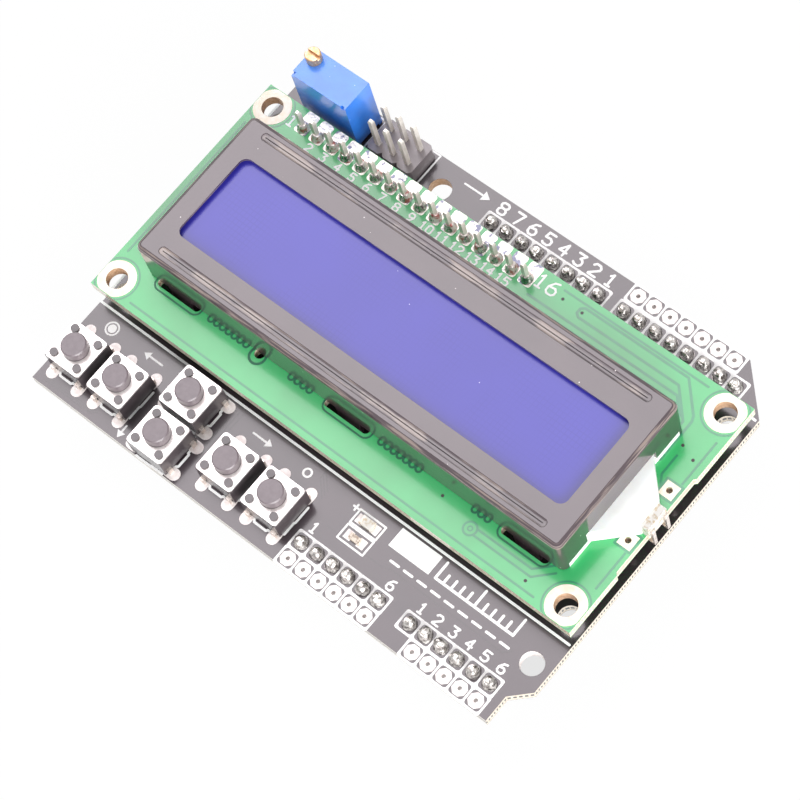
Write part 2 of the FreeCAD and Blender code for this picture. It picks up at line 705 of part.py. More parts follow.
def joints_above(places, level):
    cones = [cone(x, y, level, solder_foot, solder_neck, s.solder_high) for x, y in places]
    return cut(group(cones), group(pin_space(places, level, s.solder_high)))


def joints_below(places, level, tools):
    low = level - s.solder_high
    cones = [cone(x, y, low, solder_neck, solder_foot, s.solder_high) for x, y in places]
    return cut(group(cones), group(tools))


def solder():
    low = board_under - s.solder_high
    square_pins = lcd_pins + program_pins
    leg_tools = []
    for number, (x, y) in enumerate(key_legs):
        across = number // 4 in [order for order, key in enumerate(KEYS.values()) if key[2]]
        wide, thick = (s.blade_thick, s.blade_wide) if across else (s.blade_wide, s.blade_thick)
        leg_tools.append(centred_block(x, y, low, wide, thick, s.solder_high))
    round_tools = [rod(x, y, low, s.trimmer_pin, s.solder_high) for x, y in trimmer_pins]
    tools = pin_space(square_pins, low, s.solder_high) + leg_tools + round_tools
    above = joints_above(header_pins, board_top)
    below = joints_below(square_pins + key_legs + trimmer_pins, board_under, tools)
    keep("shield_solder", group([above, below]))
    keep("lcd_solder", joints_above(lcd_pins, lcd_top))


# Trimmer: a sealed block on short feet, with a turning screw through its top and three round pins.
def trimmer():
    body_base = board_top + s.trimmer_foot
    left = trimmer_x - s.trimmer_long / 2
    near = trimmer_y - s.trimmer_wide / 2
    height = s.trimmer_high - s.trimmer_foot
    long, wide = s.trimmer_foot_long, s.trimmer_foot_wide
    shell = block(left, near, body_base, s.trimmer_long, s.trimmer_wide, height)
    feet = []
    for along in (0, (s.trimmer_long - long) / 2, s.trimmer_long - long):
        for across in (0, s.trimmer_wide - wide):
            feet.append(block(left + along, near + across, board_top, long, wide, s.trimmer_foot))
    bore = rod(
        screw_x,
        screw_y,
        board_top + s.trimmer_high - s.screw_deep - s.running_fit,
        s.screw_neck + s.running_fit,
        s.screw_deep + s.running_fit,
    )
    top = board_top + s.trimmer_high
    nick = s.trimmer_nick
    corner = block(left, near, top - nick, nick, nick, nick)
    dimple = rod(left + s.trimmer_long - nick, near, top - nick, s.trimmer_dimple, nick)
    keep("trimmer_body", cut(fuse(shell, *feet), group([bore, corner, dimple])))
    rods = []
    for x, y in trimmer_pins:
        low = board_under - s.trimmer_pin_drop
        rods.append(rod(x, y, low, s.trimmer_pin, body_base - low))
    keep("trimmer_pins", group(rods))
    screw = new_body("trimmer_screw")
    profile = sketch_on(screw, "XZ_Plane")
    polygon(
        profile,
        [
            (0, -s.screw_deep),
            (s.screw_neck, -s.screw_deep),
            (s.screw_neck, s.running_fit),
            (s.screw_head, s.running_fit),
            (s.screw_head, s.screw_head_high - s.screw_bevel),
            (s.screw_head - s.screw_bevel, s.screw_head_high),
            (0, s.screw_head_high),
        ],
    )
    revolve(screw, profile)
    slot = sketch_on(screw, "XY_Plane", s.screw_head_high)
    rectangle(slot, -s.screw_head, -s.screw_slot / 2, s.screw_head * 2, s.screw_slot)
    pocket(screw, slot, s.screw_slot_deep)
    place(screw, screw_x, screw_y, top)


# Display board: its outline has a long shallow nick in the right edge.
def lcd_board():
    body = new_body("lcd_board")
    right = lcd_right
    nick_end = lcd_far - s.nick_back
    outline = sketch_on(body, "XY_Plane", lcd_under)
    polygon(
        outline,
        [
            (lcd_left, lcd_near),
            (right, lcd_near),
            (right, lcd_near + s.nick_start),
            (right - s.edge_nick, lcd_near + s.nick_start + s.edge_nick),
            (right - s.edge_nick, nick_end - s.edge_nick),
            (right, nick_end),
            (right, lcd_far),
            (lcd_left, lcd_far),
        ],
    )
    pad(body, outline, s.lcd_thick)
    drill(body, lcd_top, s.lcd_thick, lcd_holes, s.lcd_hole_radius)
    drill(body, lcd_top, s.lcd_thick, lcd_pins, pin_hole)
    beside = [
        (right - s.lamp_pad_inset, lamp_y + s.lamp_pad_shift + s.lamp_pad_gap / 2 * sign)
        for sign in (-1, 1)
    ]
    drill(body, lcd_top, s.lcd_thick, beside, s.lamp_pad_hole)
    peg = [(tab_middle - tab_step / 2 - s.peg_shift, bezel_near - s.tab_slot_out)]
    drill(body, lcd_top, s.lcd_thick, peg, s.peg_hole)
    slots = sketch_on(body, "XY_Plane", lcd_top)
    radius = s.tab_slot_radius
    for x, side in tab_centres:
        y = bezel_far - s.tab_slot_out if side else bezel_near + s.tab_slot_out
        corner = x - s.tab_slot_long / 2
        rounded(slots, corner, y - radius, s.tab_slot_long, radius * 2, s.tab_slot_corner)
    pocket(body, slots, s.lcd_thick)


# Bezel: a pressed sheet tray with a window, two long beads and tabs through the display board.
def lcd_bezel():
    body = new_body("lcd_bezel")
    sheet_thick = s.bezel_sheet
    base = lcd_top + s.bezel_foot
    outer = sketch_on(body, "XY_Plane", base)
    rounded(outer, bezel_left, bezel_near, bezel_length, bezel_width, s.bezel_corner)
    shoulder = s.shoulder_low + s.shoulder_high
    pad(body, outer, s.bezel_high - s.bezel_foot - shoulder)
    steep = sketch_on(body, "XY_Plane", lcd_top + s.bezel_high - shoulder)
    rounded(steep, bezel_left, bezel_near, bezel_length, bezel_width, s.bezel_corner)
    pad(body, steep, s.shoulder_low, -s.shoulder_angle)
    shallow = sketch_on(body, "XY_Plane", lcd_top + s.bezel_high - s.shoulder_high)
    rounded(
        shallow,
        bezel_left + s.shoulder_in,
        bezel_near + s.shoulder_in,
        bezel_length - s.shoulder_in * 2,
        bezel_width - s.shoulder_in * 2,
        s.bezel_corner - s.shoulder_in,
    )
    pad(body, shallow, s.shoulder_high, s.shoulder_angle - 90)
    inner = sketch_on(body, "XY_Plane", roof_under)
    rounded(
        inner,
        bezel_left + sheet_thick,
        bezel_near + sheet_thick,
        bezel_length - sheet_thick * 2,
        bezel_width - sheet_thick * 2,
        s.bezel_corner - sheet_thick,
    )
    pocket(body, inner, s.bezel_high - s.bezel_foot - sheet_thick)
    beads = [bezel_near + s.bead_inset_y, bezel_far - s.bead_inset_y]
    bead_x = bezel_left + s.bead_inset_x
    bead_long = bezel_length - s.bead_inset_x * 2
    ribs = sketch_on(body, "XY_Plane", roof_under - s.bead_deep)
    swell = s.bead_swell
    rib = s.bead_radius + swell
    for y in beads:
        rounded(ribs, bead_x - swell, y - rib, bead_long + swell * 2, rib * 2, s.bead_corner)
    pad(body, ribs, s.bead_deep)
    grooves = sketch_on(body, "XY_Plane", lcd_top + s.bezel_high)
    for y in beads:
        rounded(grooves, bead_x, y - s.bead_radius, bead_long, s.bead_radius * 2, s.bead_corner)
    pocket(body, grooves, s.bead_deep)
    window = sketch_on(body, "XY_Plane", lcd_top + s.bezel_high)
    window_x = bezel_left + s.window_x
    window_y = bezel_near + s.window_y
    rounded(window, window_x, window_y, window_length, window_width, s.window_corner)
    pocket(body, window, sheet_thick)
    skirt = s.guide_skirt + s.running_fit - s.bezel_foot
    ends = sketch_on(body, "XY_Plane", base + skirt)
    open_y = bezel_near + s.bezel_corner
    rectangle(ends, bezel_left, open_y, bezel_length, bezel_width - s.bezel_corner * 2)
    pocket(body, ends, skirt)
    arch = s.wedge_high + s.running_fit - s.bezel_foot
    arch_wide = bezel_width - s.wedge_side * 2 + s.running_fit * 2
    gate = sketch_on(body, "XY_Plane", base + arch)
    rectangle(gate, bezel_right - sheet_thick, lamp_y - arch_wide / 2, sheet_thick, arch_wide)
    pocket(body, gate, arch)
    tabs = sketch_on(body, "XY_Plane", base)
    for x, side in tab_centres:
        y = bezel_far - sheet_thick if side else bezel_near
        rectangle(tabs, x - s.tab_long / 2, y, s.tab_long, sheet_thick)
    drop = pad(body, tabs, s.bezel_foot + s.lcd_thick + s.tab_drop)
    drop.Reversed = True


# Display cell: a front pane that laps over the contact strips, a rear pane and a film on top.
def lcd_cell():
    inset = s.glass_inset
    length = bezel_length - inset * 2
    front_level = glass_top - s.glass_pane
    rear_level = front_level - s.glass_pane
    front = block(
        bezel_left + inset,
        bezel_near + inset,
        front_level,
        length,
        bezel_width - inset * 2,
        s.glass_pane,
    )
    rear = block(
        bezel_left + inset,
        bezel_near + s.rear_pane_inset,
        rear_level,
        length,
        bezel_width - s.rear_pane_inset * 2,
        s.glass_pane,
    )
    keep("lcd_glass", fuse(front, rear))
    film = block(
        bezel_left + s.window_x - s.film_lap,
        bezel_near + s.window_y - s.film_lap,
        glass_top,
        window_length + s.film_lap * 2,
        window_width + s.film_lap * 2,
        s.film_thick,
    )
    keep("lcd_front_film", film)
    strips = []
    edge = inset + s.contact_inset
    for y in (bezel_near + edge, bezel_far - edge - s.contact_wide):
        strips.append(
            block(
                bezel_left + s.skirt_wide + inset,
                y,
                lcd_top,
                bezel_length - (s.skirt_wide + inset) * 2,
                s.contact_wide,
                front_level - lcd_top,
            )
        )
    keep("lcd_contact_strips", group(strips))


# Backlight: a white guide under the glass, flanged at both ends, with a wedge out to a clear lamp.
def backlight():
    play = s.module_play
    near = bezel_near + s.rear_pane_inset
    core = block(
        bezel_left + s.bezel_sheet + play,
        near,
        lcd_top,
        bezel_length - (s.bezel_sheet + play) * 2,
        bezel_width - s.rear_pane_inset * 2,
        guide_top - lcd_top,
    )
    skirt_y = bezel_near + s.bezel_corner + play
    skirt_long = bezel_width - (s.bezel_corner + play) * 2
    skirts = [
        block(x, skirt_y, lcd_top, s.skirt_wide, skirt_long, s.guide_skirt)
        for x in (bezel_left, bezel_right - s.skirt_wide)
    ]
    wedge = doc.addObject("Part::Wedge", "Wedge")
    root = bezel_right - s.bezel_sheet - play
    root_wide = bezel_width - s.wedge_side * 2
    bind(
        wedge,
        Xmin=0,
        Ymin=0,
        Zmin=0,
        X2min=(root_wide - s.wedge_tip) / 2,
        Z2min=0,
        Xmax=root_wide,
        Ymax=lamp_x - root,
        Zmax=s.wedge_high,
        X2max=(root_wide + s.wedge_tip) / 2,
        Z2max=s.wedge_high,
    )
    wedge.Placement = Placement(Vector(), Rotation(Vector(0, 0, 1), -90))
    for axis, size in zip("xyz", (root, lamp_y + root_wide / 2, lcd_top)):
        wedge.setExpression(f"Placement.Base.{axis}", size.text)
    keep("backlight_guide", fuse(core, *skirts, wedge))
    lamp = block(
        lamp_x, lamp_y - s.lamp_wide / 2, lcd_top, s.lamp_long, s.lamp_wide, s.lamp_high
    )
    keep("backlight_lamp", lamp)
    thick = s.lamp_lead_thick
    out = lamp_x + s.lamp_long
    edge = out + s.lamp_lead_out
    leads = []
    for sign in (-1, 1):
        y = lamp_y + s.lamp_lead_gap / 2 * sign - s.lamp_lead_wide / 2
        level = lcd_top + s.lamp_lead_up
        under = lcd_under - thick
        arm = block(out, y, level - thick, edge + thick - out, s.lamp_lead_wide, thick)
        drop = block(edge, y, under, thick, s.lamp_lead_wide, level - under)
        hook = block(edge - s.lamp_lead_hook, y, under, s.lamp_lead_hook, s.lamp_lead_wide, thick)
        leads.append(fuse(arm, drop, hook))
    keep("backlight_lamp_leads", group(leads))


# Resin blobs over the two driver chips, on the underside of the display board.
def driver_blobs():
    middle = lcd_left + lcd_length / 2
    y = lcd_near + s.lcd_width / 2
    blobs = []
    for sign in (-1, 1):
        x = middle + s.blob_gap / 2 * sign
        shoulder = lcd_under - s.blob_shoulder
        lowest = lcd_under - s.blob_high
        top = cone(x, y, shoulder, s.blob_waist, s.blob_radius, s.blob_shoulder)
        low = cone(x, y, lowest, s.blob_crown, s.blob_waist, s.blob_high - s.blob_shoulder)
        blobs.append(fuse(top, low))
    keep("lcd_driver_blobs", group(blobs))


# Chips soldered flat on the black board.
def chips():
    beside = power_x + s.power_lamp_side
    long, wide = s.power_lamp_long, s.power_lamp_wide
    x, y = on_board(beside, s.power_front + s.power_lamp_back)
    keep("power_lamp", centred_block(x, y, board_top, long, wide, s.power_lamp_high))
    places = [on_board(beside, s.power_front + s.resistor_back)]
    ladder_x = s.ladder_side - board_length
    places += row_of(ladder_x, lcd_front + s.ladder_back, LADDER_CHIPS, s.ladder_step)
    resistors = [
        centred_block(x, y, board_top, s.chip_long, s.chip_wide, s.chip_high) for x, y in places
    ]
    keep("chip_resistors", group(resistors))
    x, y = on_board(-s.transistor_side, lcd_back - s.transistor_front)
    lift = s.transistor_lift
    half = s.transistor_wide / 2
    case = centred_block(
        x, y, board_top + lift, s.transistor_long, s.transistor_wide, s.transistor_high - lift
    )
    width, reach, height = s.transistor_leg, s.transistor_reach, s.transistor_leg_high
    legs = []
    for along in (-s.transistor_leg_x, s.transistor_leg_x):
        legs.append(block(x + along - width / 2, y - half - reach, board_top, width, reach, height))
    legs.append(block(x - width / 2, y + half, board_top, width, reach, height))
    keep("backlight_transistor", fuse(case, *legs))


# Button switch: a moulded base with a well, two bent terminals, a snap dome, a riveted metal cover
# and a button that its flange keeps under the cover.
def switch(key, x, y, turned):
    half = s.switch_side / 2
    base_top = s.switch_stand + s.switch_base_high
    floor = s.switch_stand + s.switch_floor
    cover_top = base_top + s.cover_thick
    stake_top = cover_top + s.stake_proud
    corner = half - s.stake_inset
    stakes = [(corner * across, corner * along) for across in (-1, 1) for along in (-1, 1)]
    well_radius = half - s.switch_wall
    flange = well_radius - s.cap_side_play
    cap_radius = flange - s.cap_lip

    def bar(width, height):
        return [
            centred_block(blade_x * sign, 0, s.blade_up, s.blade_wide, width, height)
            for sign in (-1, 1)
        ]

    shell = block(-half, -half, s.switch_stand, s.switch_side, s.switch_side, s.switch_base_high)
    studs = [rod(at_x, at_y, base_top, s.stake_radius, stake_top - base_top) for at_x, at_y in stakes]
    well = rod(0, 0, floor, well_radius, base_top - floor)
    channels = bar(s.switch_side, s.blade_thick)
    base = cut(fuse(shell, *studs), group([well] + channels))
    keep(f"{key}_switch_base", base)

    terminals = []
    for sign, strip_bar in zip((-1, 1), bar(blade_y * 2 + s.blade_thick, s.blade_thick)):
        low = -s.board_thick - s.blade_drop
        legs = [
            centred_block(
                blade_x * sign, blade_y * side, low, s.blade_wide, s.blade_thick, s.blade_up - low
            )
            for side in (-1, 1)
        ]
        terminals.append(fuse(strip_bar, *legs))
    keep(f"{key}_switch_terminals", group(terminals))

    cover = new_body(f"{key}_switch_cover")
    plate = sketch_on(cover, "XY_Plane", base_top)
    rounded(plate, -half, -half, s.switch_side, s.switch_side, s.cover_corner)
    circle(plate, 0, 0, cap_radius + s.running_fit)
    for at_x, at_y in stakes:
        circle(plate, at_x, at_y, s.stake_radius)
    pad(cover, plate, s.cover_thick)

    dome = new_body(f"{key}_switch_dome")
    skin = sketch_on(dome, "XZ_Plane", 0)
    top = floor + s.dome_high
    rim = well_radius - s.dome_play
    bend = rim - s.dome_skirt
    polygon(
        skin,
        [
            (0, top - s.dome_sheet),
            (bend, top - s.dome_drop - s.dome_sheet),
            (rim - s.dome_rim, floor),
            (rim, floor),
            (bend, top - s.dome_drop),
            (0, top),
        ],
    )
    revolve(dome, skin)

    cap = new_body(f"{key}_button")
    profile = sketch_on(cap, "XZ_Plane", 0)
    cap_top = cover_top + s.cap_proud
    flange_top = base_top - s.running_fit
    flange_low = flange_top - s.cap_flange_high
    nub_low = top + s.cap_play
    polygon(
        profile,
        [
            (0, nub_low),
            (s.cap_nub, nub_low),
            (s.cap_nub, flange_low),
            (flange, flange_low),
            (flange, flange_top),
            (cap_radius, flange_top),
            (cap_radius, cap_top - s.cap_edge),
            (cap_radius - s.cap_edge, cap_top),
            (0, cap_top),
        ],
    )
    revolve(cap, profile)

    place_x, place_y = on_board(x, y)
    for item in (parts[f"{key}_switch_base"], parts[f"{key}_switch_terminals"], cover, dome, cap):
        place(item, place_x, place_y, board_top, turned)


# Build, check and write.
shield_board()
headers()
solder()
trimmer()
lcd_board()
lcd_bezel()
lcd_cell()
backlight()
driver_blobs()
chips()
for key_name, (key_x, key_y, key_turned) in KEYS.items():
    switch(key_name, key_x, key_y, key_turned)
doc.recompute()

failed = [item.Label for item in doc.Objects if {"Invalid", "Error"} & set(item.State)]
if failed:
    raise RuntimeError(f"these objects did not compute: {failed}")
for name, item in parts.items():
    if item.Shape.isNull() or not item.Shape.isValid() or not item.Shape.Solids:
        raise RuntimeError(f"{name} has no valid solid")
os.makedirs("parts", exist_ok=True)
for name, item in parts.items():
    item.Shape.exportStep(f"parts/{name}.step")
print(f"{len(parts)} sub-parts")
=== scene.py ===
"""Dress of the LCD keypad shield: finishes, print, pads, traces, solder, light and camera."""

import math
import random

import bpy
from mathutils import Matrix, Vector
from mathutils.geometry import delaunay_2d_cdt


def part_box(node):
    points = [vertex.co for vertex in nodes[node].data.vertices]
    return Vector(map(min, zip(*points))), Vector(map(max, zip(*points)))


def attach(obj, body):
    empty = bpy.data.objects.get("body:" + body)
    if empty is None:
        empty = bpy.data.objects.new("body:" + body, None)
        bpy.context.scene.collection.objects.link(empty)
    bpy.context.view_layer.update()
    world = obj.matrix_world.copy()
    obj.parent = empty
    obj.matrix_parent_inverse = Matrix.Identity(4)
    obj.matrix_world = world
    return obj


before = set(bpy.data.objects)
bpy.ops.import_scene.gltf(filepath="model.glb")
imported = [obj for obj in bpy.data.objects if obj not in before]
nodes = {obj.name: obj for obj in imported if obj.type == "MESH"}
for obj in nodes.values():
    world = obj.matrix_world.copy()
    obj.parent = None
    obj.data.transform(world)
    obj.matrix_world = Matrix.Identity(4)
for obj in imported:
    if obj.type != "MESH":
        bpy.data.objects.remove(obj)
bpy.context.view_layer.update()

MM = 0.001
KEYS = ("select", "left", "up", "down", "right", "reset")
PIN_SIDE = 0.64
PITCH = 2.54


# Places, in millimetres, read from the frame.


def span(node):
    """Lowest and highest corner of a node, in millimetres."""
    low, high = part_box(node)
    return low / MM, high / MM


def middle(node):
    """Middle of a node, in millimetres."""
    low, high = span(node)
    return (low + high) / 2


def pin_row(node, count):
    """Centres of a row of square pins along X."""
    low, high = span(node)
    first = low.x + PIN_SIDE / 2
    step = (high.x - low.x - PIN_SIDE) / (count - 1)
    return [(first + step * number, (low.y + high.y) / 2) for number in range(count)]


board_low, board_high = span("shield_board")
lcd_low, lcd_high = span("lcd_board")
bezel_low, bezel_high = span("lcd_bezel")
board_top = board_high.z
board_under = board_low.z
lcd_top = lcd_high.z
lcd_under = lcd_low.z

lcd_row = pin_row("lcd_header_pins", 16)
down_rows = {
    "digital_high": pin_row("digital_high_header_pins", 8),
    "digital_low": pin_row("digital_low_header_pins", 8),
    "power": pin_row("power_header_pins", 6),
    "analog": pin_row("analog_header_pins", 6),
}
program_low = span("programming_header_pins")[0]
program_places = [
    (program_low.x + PIN_SIDE / 2 + PITCH * column, program_low.y + PIN_SIDE / 2 + PITCH * line)
    for column in range(3)
    for line in range(2)
]


# Finishes: each one a node material, its colours given as they look on a screen.


def shade(code):
    """Linear colour of a six-figure screen colour."""
    parts = [int(code[place : place + 2], 16) / 255 for place in (0, 2, 4)]
    linear = [p / 12.92 if p <= 0.04045 else ((p + 0.055) / 1.055) ** 2.4 for p in parts]
    return (*linear, 1.0)


class Finish:
    """A node material on one principled shader."""

    def __init__(self, name, colour, roughness, metallic=0.0, **sockets):
        self.material = bpy.data.materials.new(name)
        self.material.use_nodes = True
        self.tree = self.material.node_tree
        self.shader = self.tree.nodes["Principled BSDF"]
        self.shader.inputs["Base Color"].default_value = shade(colour)
        self.shader.inputs["Roughness"].default_value = roughness
        self.shader.inputs["Metallic"].default_value = metallic
        for socket, value in sockets.items():
            self.shader.inputs[socket.replace("_", " ")].default_value = value
        self.colour = colour
        self.roughness = roughness
        self.place = self.node("ShaderNodeTexCoord").outputs["Object"]

    def node(self, kind, **settings):
        made = self.tree.nodes.new(kind)
        for setting, value in settings.items():
            setattr(made, setting, value)
        return made

    def link(self, source, target):
        self.tree.links.new(source, target)

    def noise(self, size, detail=3.0, stretch=(1, 1, 1)):
        """Noise whose patches are about size millimetres across."""
        mapping = self.node("ShaderNodeMapping")
        mapping.inputs["Scale"].default_value = stretch
        self.link(self.place, mapping.inputs["Vector"])
        made = self.node("ShaderNodeTexNoise")
        made.inputs["Scale"].default_value = 1 / (size * MM)
        made.inputs["Detail"].default_value = detail
        self.link(mapping.outputs["Vector"], made.inputs["Vector"])
        return made.outputs["Fac"]

    def remap(self, source, low, high, to_low, to_high):
        """A socket's range stretched onto another, and clamped to it."""
        made = self.node("ShaderNodeMapRange")
        for socket, value in zip(("From Min", "From Max", "To Min", "To Max"), (low, high, to_low, to_high)):
            made.inputs[socket].default_value = value
        self.link(source, made.inputs["Value"])
        return made.outputs["Result"]

    def mix(self, share, first, second):
        """Blend of two colours, each a screen colour or a socket."""
        made = self.node("ShaderNodeMix", data_type="RGBA")
        self.link(share, made.inputs["Factor"])
        for socket, value in ((made.inputs[6], first), (made.inputs[7], second)):
            if isinstance(value, str):
                socket.default_value = shade(value)
            else:
                self.link(value, socket)
        return made.outputs[2]

    def paint(self, source):
        self.link(source, self.shader.inputs["Base Color"])
        return self

    def mottle(self, size, other, low=0.35, high=0.65, stretch=(1, 1, 1)):
        """Soft patches of a second colour."""
        share = self.remap(self.noise(size, stretch=stretch), low, high, 0.0, 1.0)
        return self.paint(self.mix(share, self.colour, other))

    def uneven(self, size, amount):
        """Roughness that wanders around its value."""
        least = max(self.roughness - amount, 0.02)
        rough = self.remap(self.noise(size), 0.3, 0.7, least, self.roughness + amount)
        self.link(rough, self.shader.inputs["Roughness"])
        return self

    def grain(self, size, depth, detail=3.0, stretch=(1, 1, 1)):
        """Relief of depth millimetres, with bumps about size millimetres across."""
        made = self.node("ShaderNodeBump")
        made.inputs["Distance"].default_value = depth * MM
        made.inputs["Strength"].default_value = 1.0
        self.link(self.noise(size, detail, stretch), made.inputs["Height"])
        self.link(made.outputs["Normal"], self.shader.inputs["Normal"])
        return self

    def stripes(self, axis, pitch, share):
        """One on thin lines across an axis, at a pitch in millimetres."""
        split = self.node("ShaderNodeSeparateXYZ")
        self.link(self.place, split.inputs["Vector"])
        wave = self.node("ShaderNodeMath", operation="PINGPONG")
        wave.inputs[1].default_value = pitch * MM / 2
        self.link(split.outputs[axis], wave.inputs[0])
        return self.remap(wave.outputs["Value"], 0.0, share * pitch * MM / 2, 1.0, 0.0)

    def both(self, first, second, way="MULTIPLY"):
        """Two sockets joined: a product, or another operation by name."""
        made = self.node("ShaderNodeMath", operation=way)
        self.link(first, made.inputs[0])
        self.link(second, made.inputs[1])
        return made.outputs["Value"]

    def over(self, share, colour):
        """A second colour over what is painted already."""
        under = self.shader.inputs["Base Color"].links[0].from_socket
        return self.paint(self.mix(share, under, colour))

    def specks(self, spacing, radius, colour):
        """Scattered small dots."""
        cells = self.node("ShaderNodeTexVoronoi")
        cells.inputs["Scale"].default_value = 1 / (spacing * MM)
        self.link(self.place, cells.inputs["Vector"])
        reach = radius / spacing
        inside = self.remap(cells.outputs["Distance"], reach * 0.5, reach, 1.0, 0.0)
        return self.over(inside, colour)

    def level_share(self, low, high):
        """One between two levels of Z in millimetres, and zero outside them."""
        soft = 0.01
        split = self.node("ShaderNodeSeparateXYZ")
        self.link(self.place, split.inputs["Vector"])
        above = self.remap(split.outputs["Z"], low * MM, (low + soft) * MM, 0.0, 1.0)
        below = self.remap(split.outputs["Z"], (high - soft) * MM, high * MM, 1.0, 0.0)
        return self.both(above, below)


THREAD_PITCH = 0.5
THREAD_BAND = 0.3
MASK_THICK = 0.07


def laminate(name, mask, deep_mask, fibre, thread, low, high, roughness):
    """Circuit board: masked faces, and edges that show the glass cloth."""
    made = Finish(name, mask, roughness, Coat_Weight=0.95, Coat_Roughness=0.14)
    face = made.mix(made.remap(made.noise(6.0), 0.35, 0.65, 0.0, 1.0), mask, deep_mask)
    cloth_share = made.remap(made.noise(0.5, stretch=(1, 1, 3)), 0.45, 0.65, 0.0, 1.0)
    cloth = made.mix(cloth_share, fibre, "b7a690")
    core = (low + high) / 2
    threads = made.both(
        made.stripes("X", THREAD_PITCH, 0.8), made.stripes("Y", THREAD_PITCH, 0.8), "MAXIMUM"
    )
    ends = made.remap(threads, 0.3, 0.45, 0.0, 1.0)
    band = made.both(made.level_share(core - THREAD_BAND, core + THREAD_BAND), ends)
    seam = made.mix(band, cloth, thread)
    made.paint(made.mix(made.level_share(low + MASK_THICK, high - MASK_THICK), face, seam))
    made.grain(0.35, 0.004)
    return made


black_board = laminate("black_board", "2e2229", "34272e", "cfc3b0", "0a0807", board_under, board_top, 0.3)
green_board = laminate("green_board", "2aac60", "24a258", "e2d6c2", "b9a78c", lcd_under, lcd_top, 0.34)
header_plastic = Finish("header_plastic", "70686b", 0.4, Coat_Weight=0.8, Coat_Roughness=0.25)
header_plastic.mottle(2.0, "7c7477").grain(0.25, 0.01)
plated_pin = Finish("plated_pin", "ece7e0", 0.36, 0.5).mottle(1.6, "dad3ca").uneven(0.8, 0.06)
solder = Finish("solder", "dedad6", 0.22, 0.95).mottle(0.5, "8f8a88").uneven(0.3, 0.12)
solder.grain(0.35, 0.09, 2.0)
ALONG = (0.02, 0.02, 1)
bezel_paint = Finish("bezel_paint", "3a2d33", 0.3, Coat_Weight=1.0, Coat_Roughness=0.09)
bezel_paint.mottle(9.0, "42343a").grain(0.12, 0.012, stretch=ALONG)
# Painted highlight: lighter streaks along the top 0.7 mm of the bezel's walls, where a rounded shoulder
# would catch the light. The specks after it are dust.
shoulder_streak_noise = bezel_paint.noise(0.11, stretch=ALONG)
shoulder_highlight_streaks = bezel_paint.remap(shoulder_streak_noise, 0.48, 0.6, 0.0, 0.8)
highlight_shoulder_band = bezel_paint.level_share(bezel_high.z - 0.75, bezel_high.z - 0.04)
bezel_paint.over(bezel_paint.both(shoulder_highlight_streaks, highlight_shoulder_band), "8f8078").specks(2.1, 0.1, "e6dfdf")
display_film = Finish("display_film", "3733a6", 0.32, Coat_Weight=0.37, Coat_Roughness=0.2)
display_film.mottle(24.0, "322e9c")
dot_columns = display_film.stripes("X", 0.62, 0.3)
dot_lines = display_film.stripes("Y", 0.72, 0.3)
dot_grid = display_film.both(dot_columns, dot_lines, "MAXIMUM")
patches = display_film.remap(display_film.noise(7.0), 0.4, 0.7, 0.0, 0.26)
display_film.over(display_film.both(dot_grid, patches), "1c1a78").specks(4.0, 0.09, "d8d8fa")
display_glass = Finish("display_glass", "2a2a66", 0.08, Transmission_Weight=0.6).mottle(5.0, "30306e")
contact_rubber = Finish("contact_rubber", "d98fa0", 0.6).mottle(0.4, "c47a8c", stretch=(4, 1, 1))
white_guide = Finish("white_guide", "fcfbf8", 0.35, Subsurface_Weight=0.1).mottle(3.0, "f7f5f0")
clear_lamp = Finish("clear_lamp", "fffdf6", 0.16, Transmission_Weight=0.45)
clear_lamp.mottle(0.5, "dcc7a4", 0.5, 0.64)
tinned_metal = Finish("tinned_metal", "e4dcd6", 0.32, 0.75).mottle(0.7, "cdbfb6").uneven(0.5, 0.1)
black_resin = Finish("black_resin", "17161a", 0.22).mottle(1.5, "201f22").grain(1.2, 0.03)
chip_black = Finish("chip_black", "2b292a", 0.4).mottle(0.6, "373435")
pale_chip = Finish("pale_chip", "d9cdbf", 0.4).mottle(0.3, "9a8674", 0.5, 0.62)
switch_plastic = Finish("switch_plastic", "3a3236", 0.45, Coat_Weight=0.9, Coat_Roughness=0.2)
switch_plastic.mottle(1.0, "453d40").grain(0.2, 0.01)
switch_steel = Finish("switch_steel", "f2efed", 0.33, 0.7).mottle(1.6, "dcd5d2").uneven(0.9, 0.08)
button_plastic = Finish("button_plastic", "665b60", 0.42, Coat_Weight=0.7, Coat_Roughness=0.28)
button_plastic.mottle(0.7, "6e6368").grain(0.12, 0.03)
trimmer_blue = Finish("trimmer_blue", "2f82e8", 0.32, Coat_Weight=0.9, Coat_Roughness=0.2)
trimmer_blue.mottle(2.5, "2876dc").specks(1.1, 0.09, "a9d0f6").grain(0.4, 0.01)
screw_brass = Finish("screw_brass", "e2c09a", 0.38, 0.8).mottle(0.5, "c49a70").uneven(0.4, 0.1)
pad_tin = Finish("pad_tin", "f4efed", 0.35, 0.1).mottle(0.6, "e3d9d6").uneven(0.4, 0.1)
lcd_tin = Finish("lcd_tin", "fbf6ee", 0.28, 0.25).mottle(1.1, "7f8299", 0.56, 0.62).uneven(0.5, 0.12)
lcd_tin.grain(0.5, 0.08, 2.0)
ink = Finish("ink", "fdfdfd", 0.5).mottle(0.6, "f6f6f5").grain(0.15, 0.006)
ring_tin = Finish("ring_tin", "f6eee2", 0.35, 0.05).mottle(0.9, "ecdfc9").uneven(0.6, 0.08)
copper_line = Finish("copper_line", "17855a", 0.34, Coat_Weight=0.9, Coat_Roughness=0.14)
copper_line.mottle(2.0, "147c52").grain(0.35, 0.004)
